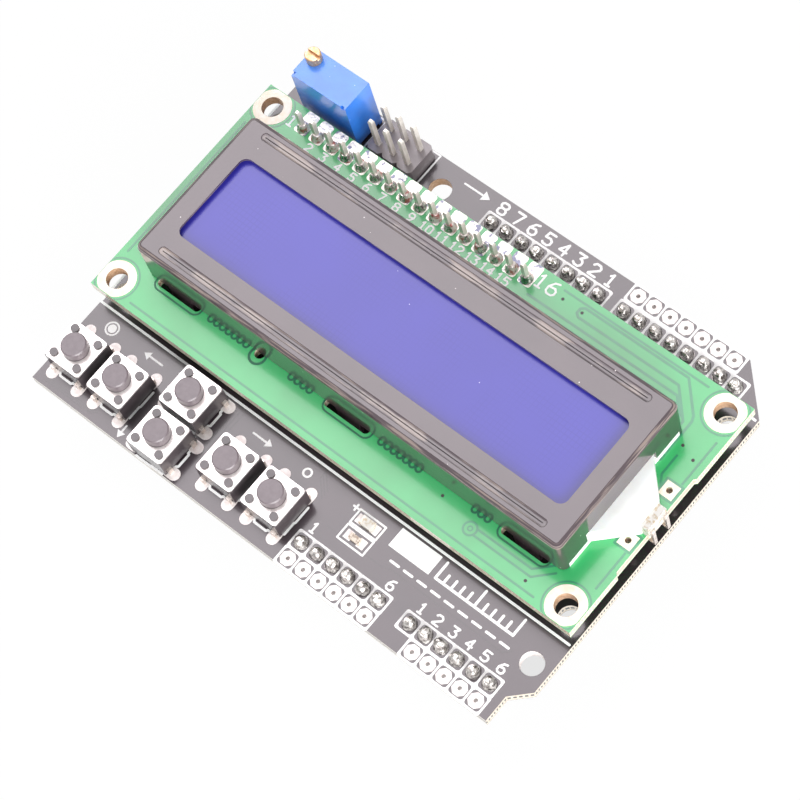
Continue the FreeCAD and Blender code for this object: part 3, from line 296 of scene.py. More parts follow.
# Border green: partly the mask's own darker colour, partly painted shade of the bezel's wall.
border_line_with_painted_shade = Finish("border_line_with_painted_shade", "0b6243", 0.5, Coat_Weight=0.25, Coat_Roughness=0.3)
border_line_with_painted_shade.mottle(1.0, "09583b").grain(0.35, 0.004)
dark_line = Finish("dark_line", "241a1f", 0.3, Coat_Weight=1.0, Coat_Roughness=0.14)
dark_line.mottle(2.0, "2c2227").grain(0.35, 0.004)
bare_copper = Finish("bare_copper", "dcb896", 0.4, 0.3).mottle(0.5, "c39a74").uneven(0.4, 0.08)
flux_solder = Finish("flux_solder", "e6ddd8", 0.36, 0.55).mottle(0.7, "b9756e", 0.5, 0.62)


def dress(finish, *names):
    """Give a finish to nodes of the frame."""
    for name in names:
        for holder in nodes[name].material_slots:
            holder.material = finish.material


dress(black_board, "shield_board")
dress(green_board, "lcd_board")
dress(header_plastic, *[name for name in nodes if name.endswith("header_strip")])
dress(plated_pin, *[name for name in nodes if name.endswith("header_pins")], "trimmer_pins")
dress(solder, "shield_solder", "lcd_solder")
dress(bezel_paint, "lcd_bezel")
dress(display_film, "lcd_front_film")
dress(display_glass, "lcd_glass")
dress(contact_rubber, "lcd_contact_strips")
dress(white_guide, "backlight_guide")
dress(clear_lamp, "backlight_lamp", "power_lamp")
dress(tinned_metal, "backlight_lamp_leads")
dress(black_resin, "lcd_driver_blobs")
dress(chip_black, "backlight_transistor")
dress(pale_chip, "chip_resistors")
dress(trimmer_blue, "trimmer_body")
dress(screw_brass, "trimmer_screw")
for key in KEYS:
    dress(switch_plastic, f"{key}_switch_base")
    dress(switch_steel, f"{key}_switch_cover", f"{key}_switch_dome")
    dress(tinned_metal, f"{key}_switch_terminals")
    dress(button_plastic, f"{key}_button")


# Flat work: outlines in millimetres, gathered into one thin piece for each finish.


def circle(x, y, radius, count=24, start=0.0):
    """Points around a middle, the first at a start angle."""
    turn = math.tau / count
    return [
        (x + radius * math.cos(start + turn * k), y + radius * math.sin(start + turn * k))
        for k in range(count)
    ]


def rounded(x, y, long, wide, radius, steps=5):
    """Rectangle about a middle, with rounded corners."""
    points = []
    for corner, (right, far) in enumerate(((1, 1), (-1, 1), (-1, -1), (1, -1))):
        for step in range(steps):
            angle = math.pi / 2 * (corner + step / (steps - 1))
            points.append(
                (
                    x + right * (long / 2 - radius) + radius * math.cos(angle),
                    y + far * (wide / 2 - radius) + radius * math.sin(angle),
                )
            )
    return points


class Plan:
    """Flat shapes that share a level and a finish, joined where they overlap."""

    def __init__(self):
        self.points = []
        self.faces = []

    def add(self, loop):
        """Numbers of the points of an outline."""
        start = len(self.points)
        self.points += loop
        return list(range(start, start + len(loop)))

    def fill(self, loop):
        self.faces.append(self.add(loop))

    def ring(self, outer, inner):
        """Band between two outlines with as many points each."""
        outside = self.add(outer)
        inside = self.add(inner)
        for k in range(len(outer)):
            after = (k + 1) % len(outer)
            self.faces.append([outside[k], outside[after], inside[after], inside[k]])

    def line(self, path, width):
        """Stroke along a path, with round ends and bends."""
        for (x0, y0), (x1, y1) in zip(path, path[1:]):
            reach = width / 2 / math.hypot(x1 - x0, y1 - y0)
            a, b = (y0 - y1) * reach, (x1 - x0) * reach
            self.fill([(x0 - a, y0 - b), (x1 - a, y1 - b), (x1 + a, y1 + b), (x0 + a, y0 + b)])
        for x, y in path:
            self.fill(circle(x, y, width / 2, 12))

    def frame(self, x, y, long, wide, width, radius=0.0):
        """Outline of a rectangle about a middle."""
        outer = rounded(x, y, long + width, wide + width, radius + width / 2)
        inner = rounded(x, y, long - width, wide - width, max(radius - width / 2, 0.02))
        self.ring(outer, inner)

    def piece(self, name, level, thick, finish, slot=None):
        """The shapes as one piece that stands thick above a level, or hangs below it."""
        joined = delaunay_2d_cdt([Vector(p) for p in self.points], [], self.faces, 1, 1e-5)
        points = joined[0]
        tiles = [tile for tile, sources in zip(joined[2], joined[5]) if sources]
        count = len(points)
        corners = [(x * MM, y * MM, level * MM) for x, y in points]
        corners += [(x * MM, y * MM, (level + thick) * MM) for x, y in points]
        sides = {(a, b) for tile in tiles for a, b in zip(tile, tile[1:] + tile[:1])}
        rim = sorted((a, b) for a, b in sides if (b, a) not in sides)
        faces = [[k + count for k in tile] for tile in tiles]
        faces += [[a, b, b + count, a + count] for a, b in rim]
        if thick < 0:
            faces = [face[::-1] for face in faces]
        mesh_piece(name, corners, faces, finish)


def mesh_piece(name, corners, faces, finish, smooth=False):
    """A piece of the shield's body, from corners in metres and faces."""
    mesh = bpy.data.meshes.new(name)
    mesh.from_pydata(corners, [], faces)
    mesh.validate()
    if smooth:
        mesh.shade_smooth()
    mesh.materials.append(finish.material)
    piece = bpy.data.objects.new(name, mesh)
    bpy.context.scene.collection.objects.link(piece)
    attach(piece, "shield")


# Strokes of plain figures on a grid two wide and three high, and the space between two figures.
FIGURE_SPACE = 0.9
FIGURES = {
    "0": [[(0, 0.5), (0.5, 0), (1.5, 0), (2, 0.5), (2, 2.5), (1.5, 3), (0.5, 3), (0, 2.5), (0, 0.5)]],
    "1": [[(0.4, 2.4), (1, 3), (1, 0)], [(0.4, 0), (1.6, 0)]],
    "2": [[(0, 2.5), (0.5, 3), (1.5, 3), (2, 2.5), (2, 1.9), (0, 0.2), (0, 0), (2, 0)]],
    "3": [[(0, 3), (2, 3), (1, 1.8), (1.6, 1.7), (2, 1.2), (2, 0.5), (1.5, 0), (0.5, 0), (0, 0.4)]],
    "4": [[(1.5, 0), (1.5, 3), (0, 1), (2, 1)]],
    "5": [[(2, 3), (0.2, 3), (0, 1.7), (1.4, 1.8), (2, 1.3), (2, 0.5), (1.5, 0), (0.4, 0), (0, 0.3)]],
    "6": [
        [(1.8, 3), (0.8, 2.7), (0, 1.5), (0, 0.5), (0.5, 0)],
        [(0.5, 0), (1.5, 0), (2, 0.5), (2, 1.2), (1.5, 1.7), (0.1, 1.5)],
    ],
    "7": [[(0, 3), (2, 3), (0.8, 0)]],
    "8": [
        [(0.5, 1.6), (0, 2.1), (0, 2.6), (0.5, 3), (1.5, 3), (2, 2.6), (2, 2.1), (1.5, 1.6), (0.5, 1.6)],
        [(0.5, 1.6), (0, 1.1), (0, 0.4), (0.5, 0), (1.5, 0), (2, 0.4), (2, 1.1), (1.5, 1.6)],
    ],
    "9": [
        [(0.2, 0), (1.2, 0.3), (2, 1.5), (2, 2.5), (1.5, 3)],
        [(1.5, 3), (0.5, 3), (0, 2.5), (0, 1.8), (0.5, 1.3), (1.9, 1.5)],
    ],
}


def number(plan, text, x, y, height, width):
    """Plain figures about a middle."""
    unit = height / 3
    advance = unit * (2 + FIGURE_SPACE)
    left = x - (advance * len(text) - unit * FIGURE_SPACE) / 2
    low = y - height / 2
    for place, figure in enumerate(text):
        start = left + advance * place
        for stroke in FIGURES[figure]:
            plan.line([(start + a * unit, low + b * unit) for a, b in stroke], width)


# Print and pads of the black board.

# How far things stand above the mask.
PRINT = 0.03
PAD = 0.05
TRACK = 0.015
BORDER = 0.02
# Pads and holes. The tin of a spare pad runs a little way into its hole.
PAD_WIDE = 1.98
PAD_HOLE = 0.42
WET_HOLE = 0.29
JOINT_PAD = 0.95
JOINT_HOLE = 0.4
HOST_WALL = 1.59
BACK_HOLE = (-13.56, 24.05)
FRONT_HOLE = (37.24, -19.13)
# Widths of printed lines.
LINE = 0.3
STROKE = 0.27


def square_cells(plan, row):
    """A printed square around each pin of a row."""
    for x, y in row:
        plan.ring(
            rounded(x, y, PITCH + LINE, PITCH + LINE, 0.3),
            rounded(x, y, PITCH - LINE, PITCH - LINE, 0.42),
        )


def moved(row, right, up, count=None):
    """The first places of a row, or all of them, a way off."""
    return [(x + right, y + up) for x, y in row[:count]]


def divided(loop, parts):
    """A loop with each side cut into equal parts."""
    points = []
    for (x0, y0), (x1, y1) in zip(loop, loop[1:] + loop[:1]):
        points += [(x0 + (x1 - x0) * k / parts, y0 + (y1 - y0) * k / parts) for k in range(parts)]
    return points


spare_rows = [
    moved(down_rows["digital_low"], 0.18, 2.82, 7),
    moved(down_rows["power"], -0.04, -2.62),
    moved(down_rows["analog"], 2.6, -2.62, 5),
]
header_cells = Plan()
for row in list(down_rows.values()) + spare_rows:
    square_cells(header_cells, row)
header_cells.piece("header_cells_print", board_top, PRINT, ink)

pads = Plan()
pads_below = Plan()
eighth = math.pi / 8
for x, y in sum(spare_rows, []):
    octagon = circle(x, y, PAD_WIDE / 2 / math.cos(eighth), 8, eighth)
    pads.ring(divided(octagon, 3), circle(x, y, WET_HOLE, 24, eighth))
    pads_below.ring(circle(x, y, PAD_WIDE / 2), circle(x, y, PAD_HOLE))
for x, y in sum(down_rows.values(), []):
    pads.ring(circle(x, y, JOINT_PAD), circle(x, y, JOINT_HOLE))
for x, y in lcd_row + program_places:
    pads_below.ring(circle(x, y, JOINT_PAD), circle(x, y, JOINT_HOLE))


def around(centre, turned, across, along):
    """A place beside a key, whose terminals may point along X."""
    if turned:
        return (centre.x - along, centre.y + across)
    return (centre.x + across, centre.y + along)


# Pads and printed outline of each key, as places across and along its terminals.
KEY_PAD = (2.25, 3.3)
KEY_PAD_LONG, KEY_PAD_WIDE, KEY_PAD_ROUND = 2.5, 1.7, 0.84
KEY_END = [(-1.3, 3.15), (-1.1, 3.42), (0.9, 3.42), (1.05, 3.2), (1.36, 3.2)]
KEY_EDGE = [(3.1, -2.4), (3.1, -0.5), (3.22, -0.4), (3.22, 2.1)]
KEY_END_LINE = 0.34
KEY_EDGE_LINE = 0.32
key_print = Plan()
for key in KEYS:
    centre = middle(f"{key}_button")
    low, high = span(f"{key}_switch_terminals")
    turned = high.x - low.x > high.y - low.y
    long, wide = (KEY_PAD_LONG, KEY_PAD_WIDE) if turned else (KEY_PAD_WIDE, KEY_PAD_LONG)
    for side in (-1, 1):
        for across in (-1, 1):
            x, y = around(centre, turned, KEY_PAD[0] * across, KEY_PAD[1] * side)
            pads.fill(rounded(x, y, long, wide, KEY_PAD_ROUND))
            pads_below.fill(rounded(x, y, long, wide, KEY_PAD_ROUND))
        key_print.line([around(centre, turned, a, b * side) for a, b in KEY_END], KEY_END_LINE)
        key_print.line([around(centre, turned, a * side, b) for a, b in KEY_EDGE], KEY_EDGE_LINE)
key_print.piece("key_outline_print", board_top, PRINT, ink)

trimmer_low, trimmer_high = span("trimmer_pins")
for place in range(3):
    x = trimmer_low.x + (trimmer_high.x - trimmer_low.x) * place / 2
    y = (trimmer_low.y + trimmer_high.y) / 2
    pads_below.ring(circle(x, y, JOINT_PAD), circle(x, trimmer_low.y, 0.3))
pads_below.piece("shield_pads_below", board_under, -PAD, pad_tin, slot="solder")

lamp = middle("power_lamp")
resistor_y = lamp.y - 2.45
for y, reach in ((lamp.y, 1.2), (resistor_y, 1.05)):
    for side in (-1, 1):
        pads.fill(rounded(lamp.x + side * reach, y, 1.1, 1.3, 0.08))
pads.piece("shield_pads", board_top, PAD, pad_tin, slot="solder")

# Outlines around the lamp and its resistor.
outlines = Plan()
outlines.frame(lamp.x, lamp.y, 4.2, 2.1, 0.26)
outlines.frame(lamp.x, resistor_y, 4.2, 2.2, 0.26)

# The display board's outline, open on the right.
near_y, far_y = lcd_low.y - 0.25, lcd_high.y + 0.25
left_x, right_x = lcd_low.x + 0.5, board_high.x - 0.4
outlines.line([(right_x, near_y), (left_x, near_y), (left_x, far_y), (right_x, far_y)], 0.34)
# Outlines around the trimmer and the programming header.
for node, margin in (("trimmer_body", 0.9), ("programming_header_strip", 0.8)):
    low, high = span(node)
    outlines.frame(
        (low.x + high.x) / 2, (low.y + high.y) / 2, high.x - low.x + margin, high.y - low.y + 0.7, 0.24
    )
outlines.piece("outline_print", board_top, PRINT, ink)

# Plain marks beside the keys and the lamp: arrows, a dot, rings and a plus.
LABEL_Y = -16.65
signs = Plan()


def arrow(plan, x, y, angle, long, head=0.62):
    """Shaft and triangle that point along an angle."""
    turn = math.radians(angle)
    along = Vector((math.cos(turn), math.sin(turn)))
    across = Vector((-math.sin(turn), math.cos(turn)))
    centre = Vector((x, y))
    tip = centre + along * long / 2
    neck = tip - along * head * 1.5
    plan.fill([tuple(tip), tuple(neck + across * head), tuple(neck - across * head)])
    plan.line([tuple(centre - along * long / 2), tuple(neck)], STROKE)


arrow(signs, middle("left_button").x, LABEL_Y, 180, 3.2)
arrow(signs, middle("up_button").x - 4.4, LABEL_Y + 0.4, 90, 1.9)
arrow(signs, middle("down_button").x - 5.9, -26.7, -90, 1.9)
arrow(signs, middle("right_button").x, LABEL_Y, 0, 3.2)
select_x = middle("select_button").x
reset_x = middle("reset_button").x
signs.fill(circle(select_x, LABEL_Y, 0.62))
signs.ring(circle(select_x, LABEL_Y, 1.05), circle(select_x, LABEL_Y, 0.8))
signs.ring(circle(reset_x, LABEL_Y, 0.7), circle(reset_x, LABEL_Y, 0.42))
plus_x, plus_y, plus_arm = lamp.x - 2.7, lamp.y + 0.9, 0.4
signs.line([(plus_x - plus_arm, plus_y), (plus_x + plus_arm, plus_y)], STROKE)
signs.line([(plus_x, plus_y - plus_arm), (plus_x, plus_y + plus_arm)], STROKE)
signs.piece("key_sign_print", board_top, PRINT, ink)

# Plain figures at the header pins.
NUMBER_OFF = 2.45
NUMBER_HIGH = 1.35
figures = Plan()
for place, (x, y) in enumerate(down_rows["analog"]):
    number(figures, str(place + 1), x, y + NUMBER_OFF, NUMBER_HIGH, STROKE)
for place in (0, 5):
    x, y = down_rows["power"][place]
    number(figures, str(place + 1), x, y + NUMBER_OFF, NUMBER_HIGH, STROKE)
for place, (x, y) in enumerate(down_rows["digital_high"]):
    number(figures, str(8 - place), x, y + 2.55, 1.7, 0.32)
arrow(figures, down_rows["digital_high"][0][0] - 4.4, 26.6, 0, 4.2, 0.75)
figures.piece("pin_number_print", board_top, PRINT, ink)

# A blank patch to write on, a scale with plain ticks and a row of dashes.
SCALE_X = 20.7
SCALE_Y = -17.75
SCALE_LINE = 0.36
TICK_STEP = 1.24
DASH_Y = -19.35
scale = Plan()
scale.fill(rounded(16.45, -16.52, 6.5, 2.85, 0.05, 2))
scale.line([(SCALE_X, SCALE_Y), (SCALE_X + 10 * TICK_STEP, SCALE_Y)], SCALE_LINE)
for tick in range(11):
    x = SCALE_X + TICK_STEP * tick
    scale.line([(x, SCALE_Y), (x, -15.3 if tick % 5 == 0 else -16.5)], SCALE_LINE)
for dash in range(9):
    x = 14.8 + 2.2 * dash
    scale.line([(x, DASH_Y), (x + 1.3, DASH_Y)], 0.34)
scale.piece("scale_print", board_top, PRINT, ink)

# Tracks of the black board: mask lines that stand a little proud.
TRACK_THIN = 0.22
TRACK_WIDE = 0.25
TRACK_PITCH = 0.55
tracks = Plan()
for shift in (0.0, TRACK_PITCH, 2 * TRACK_PITCH):
    edge_y = -27.3 + shift * 0.5
    tracks.line([(-38.5, edge_y), (-30.2, edge_y), (-29.2, -26.6 + shift)], TRACK_THIN)
    left, right = -16.4 + shift, -14.6 + shift
    tracks.line([(left, -27.2), (left, -23.6), (right, -21.8), (right, -14.0)], TRACK_THIN)
    tracks.line([(2.4, -18.2 + shift), (0.4, -16.2 + shift), (0.4, -14.4 + shift)], TRACK_THIN)
    bend_x = -17.4 + shift
    tracks.line([(-16.6, 21.9 + shift), (bend_x, 22.7 + shift), (bend_x, 26.9)], TRACK_WIDE)
    tracks.line([(-11.5, 22.4 - shift), (-6.6, 22.4 - shift)], TRACK_THIN)
tracks.line([(5.4, -20.6), (14.2, -20.6), (15.4, -20.2), (33.4, -20.2), (34.2, -19.4)], TRACK_WIDE)
tracks.piece("shield_tracks", board_top, TRACK, dark_line)


# Pads, print and tracks of the display board.


def on_lcd(*places):
    """Places on the display board, from its front left corner."""
    return [(lcd_low.x + x, lcd_low.y + y) for x, y in places]


HOLE_INSET = 2.5
HOLE_RADIUS = 1.5
RING_RADIUS = 2.66
lcd_long = lcd_high.x - lcd_low.x
lcd_wide = lcd_high.y - lcd_low.y
ring_places = on_lcd(
    (HOLE_INSET, HOLE_INSET),
    (lcd_long - HOLE_INSET, HOLE_INSET),
    (HOLE_INSET, lcd_wide - HOLE_INSET),
    (lcd_long - HOLE_INSET, lcd_wide - HOLE_INSET),
)


def within(loop, margin):
    """A loop held inside the display board's outline."""
    return [
        (
            min(max(x, lcd_low.x + margin), lcd_high.x - margin),
            min(max(y, lcd_low.y + margin), lcd_high.y - margin),
        )
        for x, y in loop
    ]


def hole_walls(name, places, radius, low, high, finish):
    """Plated walls of round holes."""
    count = 24
    corners = []
    faces = []
    for x, y in places:
        start = len(corners)
        for level in (low, high):
            corners += [(a * MM, b * MM, level * MM) for a, b in circle(x, y, radius, count)]
        for k in range(count):
            after = (k + 1) % count
            faces.append((start + after, start + k, start + count + k, start + count + after))
    mesh_piece(name, corners, faces, finish, smooth=True)


# A wall stands this far inside its hole.
WALL = 0.01
rings = Plan()
gaps = Plan()
for x, y in ring_places:
    rings.ring(within(circle(x, y, RING_RADIUS, 48), 0.08), circle(x, y, HOLE_RADIUS, 48))
    gaps.ring(within(circle(x, y, 3.15, 48), 0.07), within(circle(x, y, 2.9, 48), 0.071))
rings.piece("lcd_hole_rings", lcd_top, PAD, ring_tin, slot="solder")
hole_walls("lcd_hole_walls", ring_places, HOLE_RADIUS - WALL, lcd_under, lcd_top + PAD, bare_copper)
hole_walls("back_hole_walls", [BACK_HOLE], HOST_WALL, board_under, board_top, bare_copper)
hole_walls("front_hole_walls", [FRONT_HOLE], HOST_WALL, board_under, board_top, pad_tin)
spare_places = sum(spare_rows, [])
hole_walls("spare_hole_walls", spare_places, PAD_HOLE - WALL, board_under, board_top + PAD, pad_tin)

lcd_pads = Plan()
for x, y in lcd_row:
    lcd_pads.ring(rounded(x, y + 0.75, 2.0, 3.4, 0.35, 6), circle(x, y, PAD_HOLE, 24))
lamp_pads = Plan()
lamp_places = on_lcd((78.3, 21.45), (78.3, 13.42))
for x, y in lamp_places:
    lamp_pads.ring(rounded(x, y, 2.0, 2.05, 0.05, 6), circle(x, y, PAD_HOLE, 24))
    gaps.frame(x, y, 2.35, 2.4, 0.3)
lcd_pads.piece("lcd_pads", lcd_top, PAD, lcd_tin, slot="solder")
lamp_pads.piece("lamp_pads", lcd_top, PAD, ring_tin, slot="solder")
hole_walls("lamp_pad_walls", lamp_places, PAD_HOLE - WALL, lcd_under, lcd_top + PAD, bare_copper)

# Dark borders along the bezel's front wall: rows of small rings, the tab slots and one hole. Their darker
# green is partly the mask's own colour and partly painted shade from the bezel's wall.
borders = Plan()
for first, count in ((16.6, 7), (30.5, 4), (45.6, 7), (60.8, 3)):
    for x, y in on_lcd(*[(first + 1.02 * k, 5.45) for k in range(count)]):
        borders.ring(circle(x, y, 0.55, 16), circle(x, y, 0.25, 16))
for x, y in on_lcd((10.9, 5.5), (40.05, 5.5), (68.6, 5.5)):
    borders.frame(x, y, 7.9, 2.1, 0.25, 1.0)
for x, y in on_lcd((25.0, 5.1)):
    borders.ring(circle(x, y, 1.3), circle(x, y, 0.95))
borders.piece("lcd_hole_borders", lcd_top, BORDER, border_line_with_painted_shade)

# Lines where two copper fields part: a bundle at the back right, a pair at the front right
# that leaves a ringed via, and a line along each edge between the corner rings.
GAP_WIDE = 0.36
GAP_THIN = 0.3
EDGE_INSET = 0.95
RING_CLEAR = 6.3
edge_right = lcd_long - EDGE_INSET
edge_back = lcd_wide - EDGE_INSET
wide_gaps = (
    ((54.2, 33.5), (54.2, 34.2), (54.7, 34.6), (71.0, 34.6), (74.6, 30.9), (74.9, 30.2), (74.9, 24.0)),
    ((54.2, 33.5), (54.7, 33.1), (70.6, 33.1), (74.0, 29.6), (74.0, 29.2)),
    ((47.5, 31.9), (71.3, 31.9), (73.2, 29.9)),
)
thin_gaps = (
    ((50.0, 31.0), (71.9, 31.0)),
    ((76.2, 25.6), (76.2, 22.6), (77.0, 21.4)),
    ((62.8, 3.65), (71.3, 3.65), (73.3, 5.65)),
    ((62.8, 2.75), (71.8, 2.75), (74.0, 4.95)),
)
edge_gaps = (
    ((RING_CLEAR, EDGE_INSET), (lcd_long - RING_CLEAR, EDGE_INSET)),
    ((51.0, edge_back), (lcd_long - RING_CLEAR, edge_back)),
    ((edge_right, RING_CLEAR), (edge_right, 11.9)),
    ((edge_right, 23.0), (edge_right, lcd_wide - RING_CLEAR)),
    ((EDGE_INSET, RING_CLEAR), (EDGE_INSET, lcd_wide - RING_CLEAR)),
)
for path in wide_gaps:
    gaps.line(on_lcd(*path), GAP_WIDE)
for path in thin_gaps:
    gaps.line(on_lcd(*path), GAP_THIN)
(x, y), = on_lcd((61.9, 3.2))
gaps.ring(circle(x, y, 1.05), circle(x, y, 0.75))
gaps.ring(circle(x, y, 0.4), circle(x, y, 0.2))
for path in edge_gaps:
    gaps.line(on_lcd(*path), GAP_THIN)
gaps.piece("lcd_mask_lines", lcd_top, TRACK, copper_line)

lcd_print = Plan()
for place, (x, y) in enumerate(lcd_row[1:-1]):
    number(lcd_print, str(place + 2), x, y - 1.85, 1.15, 0.23)
(x, y), = on_lcd((6.05, 33.5))
number(lcd_print, "1", x, y, 1.7, 0.26)
(x, y), = on_lcd((48.7, 34.35))
number(lcd_print, "16", x, y, 1.9, 0.27)
lcd_print.piece("lcd_number_print", lcd_top, PRINT, ink)

vias = Plan()
via_places = on_lcd(
    (75.94, 27.07), (78.15, 26.24), (51.57, 33.95), (56.4, 4.5), (71.6, 2.0), (54.75, 33.85)
)
for x, y in via_places:
    vias.fill(circle(x, y, 0.22, 12))
vias.piece("lcd_vias", lcd_top, BORDER, chip_black)


# Bezel: the soft dish of each pressed bead.


def dish(plan_loops, level, faces, corners):
    """Loops with as many points each, joined down to a flat middle."""
    count = len(plan_loops[0][0])
    start = len(corners)
    for loop, drop in plan_loops:
        corners += [(x * MM, y * MM, (level - drop) * MM) for x, y in loop]
    for row in range(len(plan_loops) - 1):
        for k in range(count):
            after = (k + 1) % count
            low = start + row * count
            faces.append((low + k, low + after, low + count + after, low + count + k))
    faces.append([start + (len(plan_loops) - 1) * count + k for k in range(count)])


BEAD_OFF = 1.7
BEAD_WIDE = 1.2
BEAD_ROUND = 0.55
# Inset from the bead's outline, and depth below the bezel's face.
BEAD_STEPS = ((0.0, 0.01), (0.11, 0.07), (0.26, 0.1), (0.4, 0.115), (0.52, 0.118))
bead_corners = []
bead_faces = []
bead_x = (bezel_low.x + bezel_high.x) / 2
bead_long = bezel_high.x - bezel_low.x - 6.2
for bead_y in (bezel_low.y + BEAD_OFF, bezel_high.y - BEAD_OFF):
    loops = []
    for inset, drop in BEAD_STEPS:
        long, wide = bead_long - inset * 2, BEAD_WIDE - inset * 2
        loops.append((rounded(bead_x, bead_y, long, wide, BEAD_ROUND - inset * 0.8), drop))
    dish(loops, bezel_high.z, bead_faces, bead_corners)
mesh_piece("bezel_bead_linings", bead_corners, bead_faces, bezel_paint)


# Solder: uneven lumps around the pins, each with its own seed.


def lumps(name, places, level, finish, profile, uneven):
    """Turned joints from rings of radius and height that wander, and a closed cap."""
    count = 14
    rows = len(profile)
    corners = []
    faces = []
    for place, (x, y) in enumerate(places):
        dice = random.Random(name + str(place))
        waves = [(dice.uniform(0.3, 1.0), dice.uniform(0, math.tau), k) for k in (1, 2, 3)]
        start = len(corners)
        lean = Vector((dice.uniform(-1, 1), dice.uniform(-1, 1))) * 0.1
        for radius, height in profile:
            for k in range(count):
                angle = math.tau * k / count
                wave = sum(size * math.sin(angle * turns + phase) for size, phase, turns in waves)
                r = radius * (1 + uneven * wave * (0.4 + height) / 1.4)
                lift = height * (1 + uneven * 0.6 * math.sin(angle + waves[0][1]))
                corners.append(
                    (
                        (x + lean.x * height + r * math.cos(angle)) * MM,
                        (y + lean.y * height + r * math.sin(angle)) * MM,
                        (level + lift) * MM,
                    )
                )
        for row in range(rows - 1):
            for k in range(count):
                after = (k + 1) % count
                low, high = start + row * count, start + (row + 1) * count
                faces.append((low + k, low + after, high + after, high + k))
        faces.append([start + (rows - 1) * count + k for k in range(count)])
    mesh_piece(name, corners, faces, finish, smooth=True)


HEADER_LUMP = [
    (1.02, 0.0), (0.95, 0.2), (0.86, 0.55), (0.76, 0.9), (0.62, 1.15), (0.42, 1.3), (0.15, 1.35)
]
LCD_LUMP = [
    (0.98, 0.0), (0.86, 0.18), (0.72, 0.5), (0.62, 0.85), (0.54, 1.12), (0.47, 1.25), (0.3, 1.28)
]
lumps("header_joints", sum(down_rows.values(), []), board_top, solder, HEADER_LUMP, 0.13)
lumps("lcd_joints", lcd_row, lcd_top, flux_solder, LCD_LUMP, 0.1)


# Camera at the photograph's angle, in metres and degrees.
camera_data = bpy.data.cameras.new("camera")
camera_data.lens = 128.33
camera_data.sensor_width = 36.0
camera = bpy.data.objects.new("camera", camera_data)
camera.location = (0.14025, -0.08111, 0.33249)
camera.rotation_euler = [math.radians(angle) for angle in (24.6426, 9.5925, 40.342)]
bpy.context.scene.collection.objects.link(camera)
bpy.context.scene.camera = camera


# Stage: a pale floor, two soft lamps and an even pale surround.


def to_viewer(tree, share):
    """A share for the rays that show the background, and zero for those that light the object."""
    path = tree.nodes.new("ShaderNodeLightPath")
    total = path.outputs["Is Camera Ray"]
    for ray in ("Is Glossy Ray", "Is Transmission Ray"):
        adder = tree.nodes.new("ShaderNodeMath")
        adder.operation = "MAXIMUM"
        tree.links.new(total, adder.inputs[0])
        tree.links.new(path.outputs[ray], adder.inputs[1])
        total = adder.outputs["Value"]
    scaled = tree.nodes.new("ShaderNodeMath")
    scaled.operation = "MULTIPLY"
    scaled.inputs[1].default_value = share
    tree.links.new(total, scaled.inputs[0])
    return scaled.outputs["Value"]


# The floor's painted shade under the board, and where it fades out along X and Y, in metres.
PAINTED_SHADE = 0.79
SHADE_X = (-0.038, -0.036, 0.0362, 0.037)
SHADE_Y = (-0.0212, -0.0202, 0.0225, 0.0235)
FLOOR_GLOW = 0.97
FLOOR_REACH = 2.0


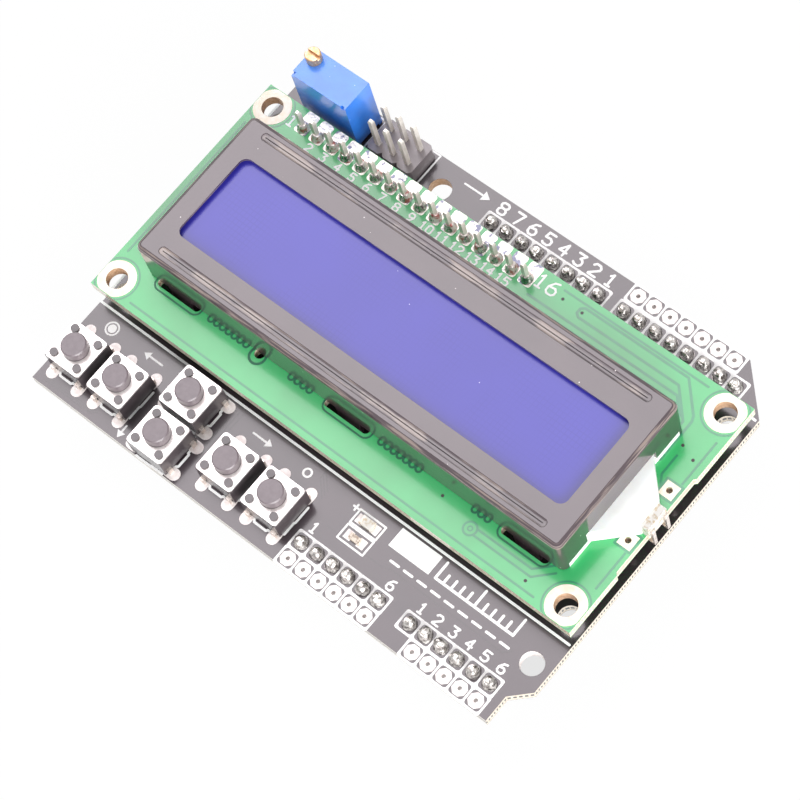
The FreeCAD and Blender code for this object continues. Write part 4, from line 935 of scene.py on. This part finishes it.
def floor_piece():
    """White to the viewer but for a painted shade under the board, and a plain pale floor to the lamps."""
    finish = Finish("floor_finish", "f2f2f2", 0.9).mottle(200.0, "f0f0f0")
    tree = finish.tree
    split = finish.node("ShaderNodeSeparateXYZ")
    finish.link(finish.place, split.inputs["Vector"])
    inside = []
    for axis, (start, full, fade, end) in (("X", SHADE_X), ("Y", SHADE_Y)):
        rise = finish.remap(split.outputs[axis], start, full, 0.0, 1.0)
        fall = finish.remap(split.outputs[axis], fade, end, 1.0, 0.0)
        inside.append(finish.both(rise, fall))
    glow = tree.nodes.new("ShaderNodeEmission")
    painted_shade_under_board = finish.remap(finish.both(*inside), 0.0, 1.0, 1.0, PAINTED_SHADE)
    finish.link(painted_shade_under_board, glow.inputs["Strength"])
    blend = tree.nodes.new("ShaderNodeMixShader")
    tree.links.new(to_viewer(tree, FLOOR_GLOW), blend.inputs["Fac"])
    tree.links.new(finish.shader.outputs["BSDF"], blend.inputs[1])
    tree.links.new(glow.outputs["Emission"], blend.inputs[2])
    tree.links.new(blend.outputs["Shader"], tree.nodes["Material Output"].inputs["Surface"])
    mesh = bpy.data.meshes.new("floor")
    corners = [(FLOOR_REACH * a, FLOOR_REACH * b, 0) for a, b in ((-1, -1), (1, -1), (1, 1), (-1, 1))]
    mesh.from_pydata(corners, [], [(0, 1, 2, 3)])
    mesh.materials.append(finish.material)
    floor = bpy.data.objects.new("floor", mesh)
    bpy.context.scene.collection.objects.link(floor)


def soft_lamp(name, azimuth, elevation, distance, size, power, tint):
    """Round soft lamp, aimed at the object from a direction in degrees."""
    data = bpy.data.lights.new(name, "AREA")
    data.shape = "DISK"
    data.size = size
    data.energy = power
    data.color = tint
    made = bpy.data.objects.new(name, data)
    a, e = math.radians(azimuth), math.radians(elevation)
    made.location = (
        distance * math.cos(e) * math.cos(a),
        distance * math.cos(e) * math.sin(a),
        distance * math.sin(e),
    )
    made.rotation_euler = made.location.to_track_quat("Z", "Y").to_euler()
    bpy.context.scene.collection.objects.link(made)


floor_piece()
# The key lamp mirrors in the boards and the bezel. The side lamp fills the front and right walls.
soft_lamp(
    "key_lamp", azimuth=150, elevation=62, distance=0.7, size=0.5, power=2.25, tint=(1.0, 0.94, 0.98)
)
soft_lamp(
    "side_lamp", azimuth=-28, elevation=20, distance=0.8, size=0.8, power=13.0, tint=(1.0, 1.0, 1.0)
)

# The surround is dimmer where it lights the object than where it is seen.
SURROUND_LIGHT = 0.45
world = bpy.data.worlds.new("surround")
world.use_nodes = True
bpy.context.scene.world = world
background = world.node_tree.nodes["Background"]
background.inputs["Color"].default_value = (1.0, 1.0, 1.0, 1.0)
strength = world.node_tree.nodes.new("ShaderNodeMapRange")
strength.inputs["To Min"].default_value = SURROUND_LIGHT
strength.inputs["To Max"].default_value = 1.0
world.node_tree.links.new(to_viewer(world.node_tree, 1.0), strength.inputs["Value"])
world.node_tree.links.new(strength.outputs["Result"], background.inputs["Strength"])
bpy.context.scene.view_settings.view_transform = "Standard"
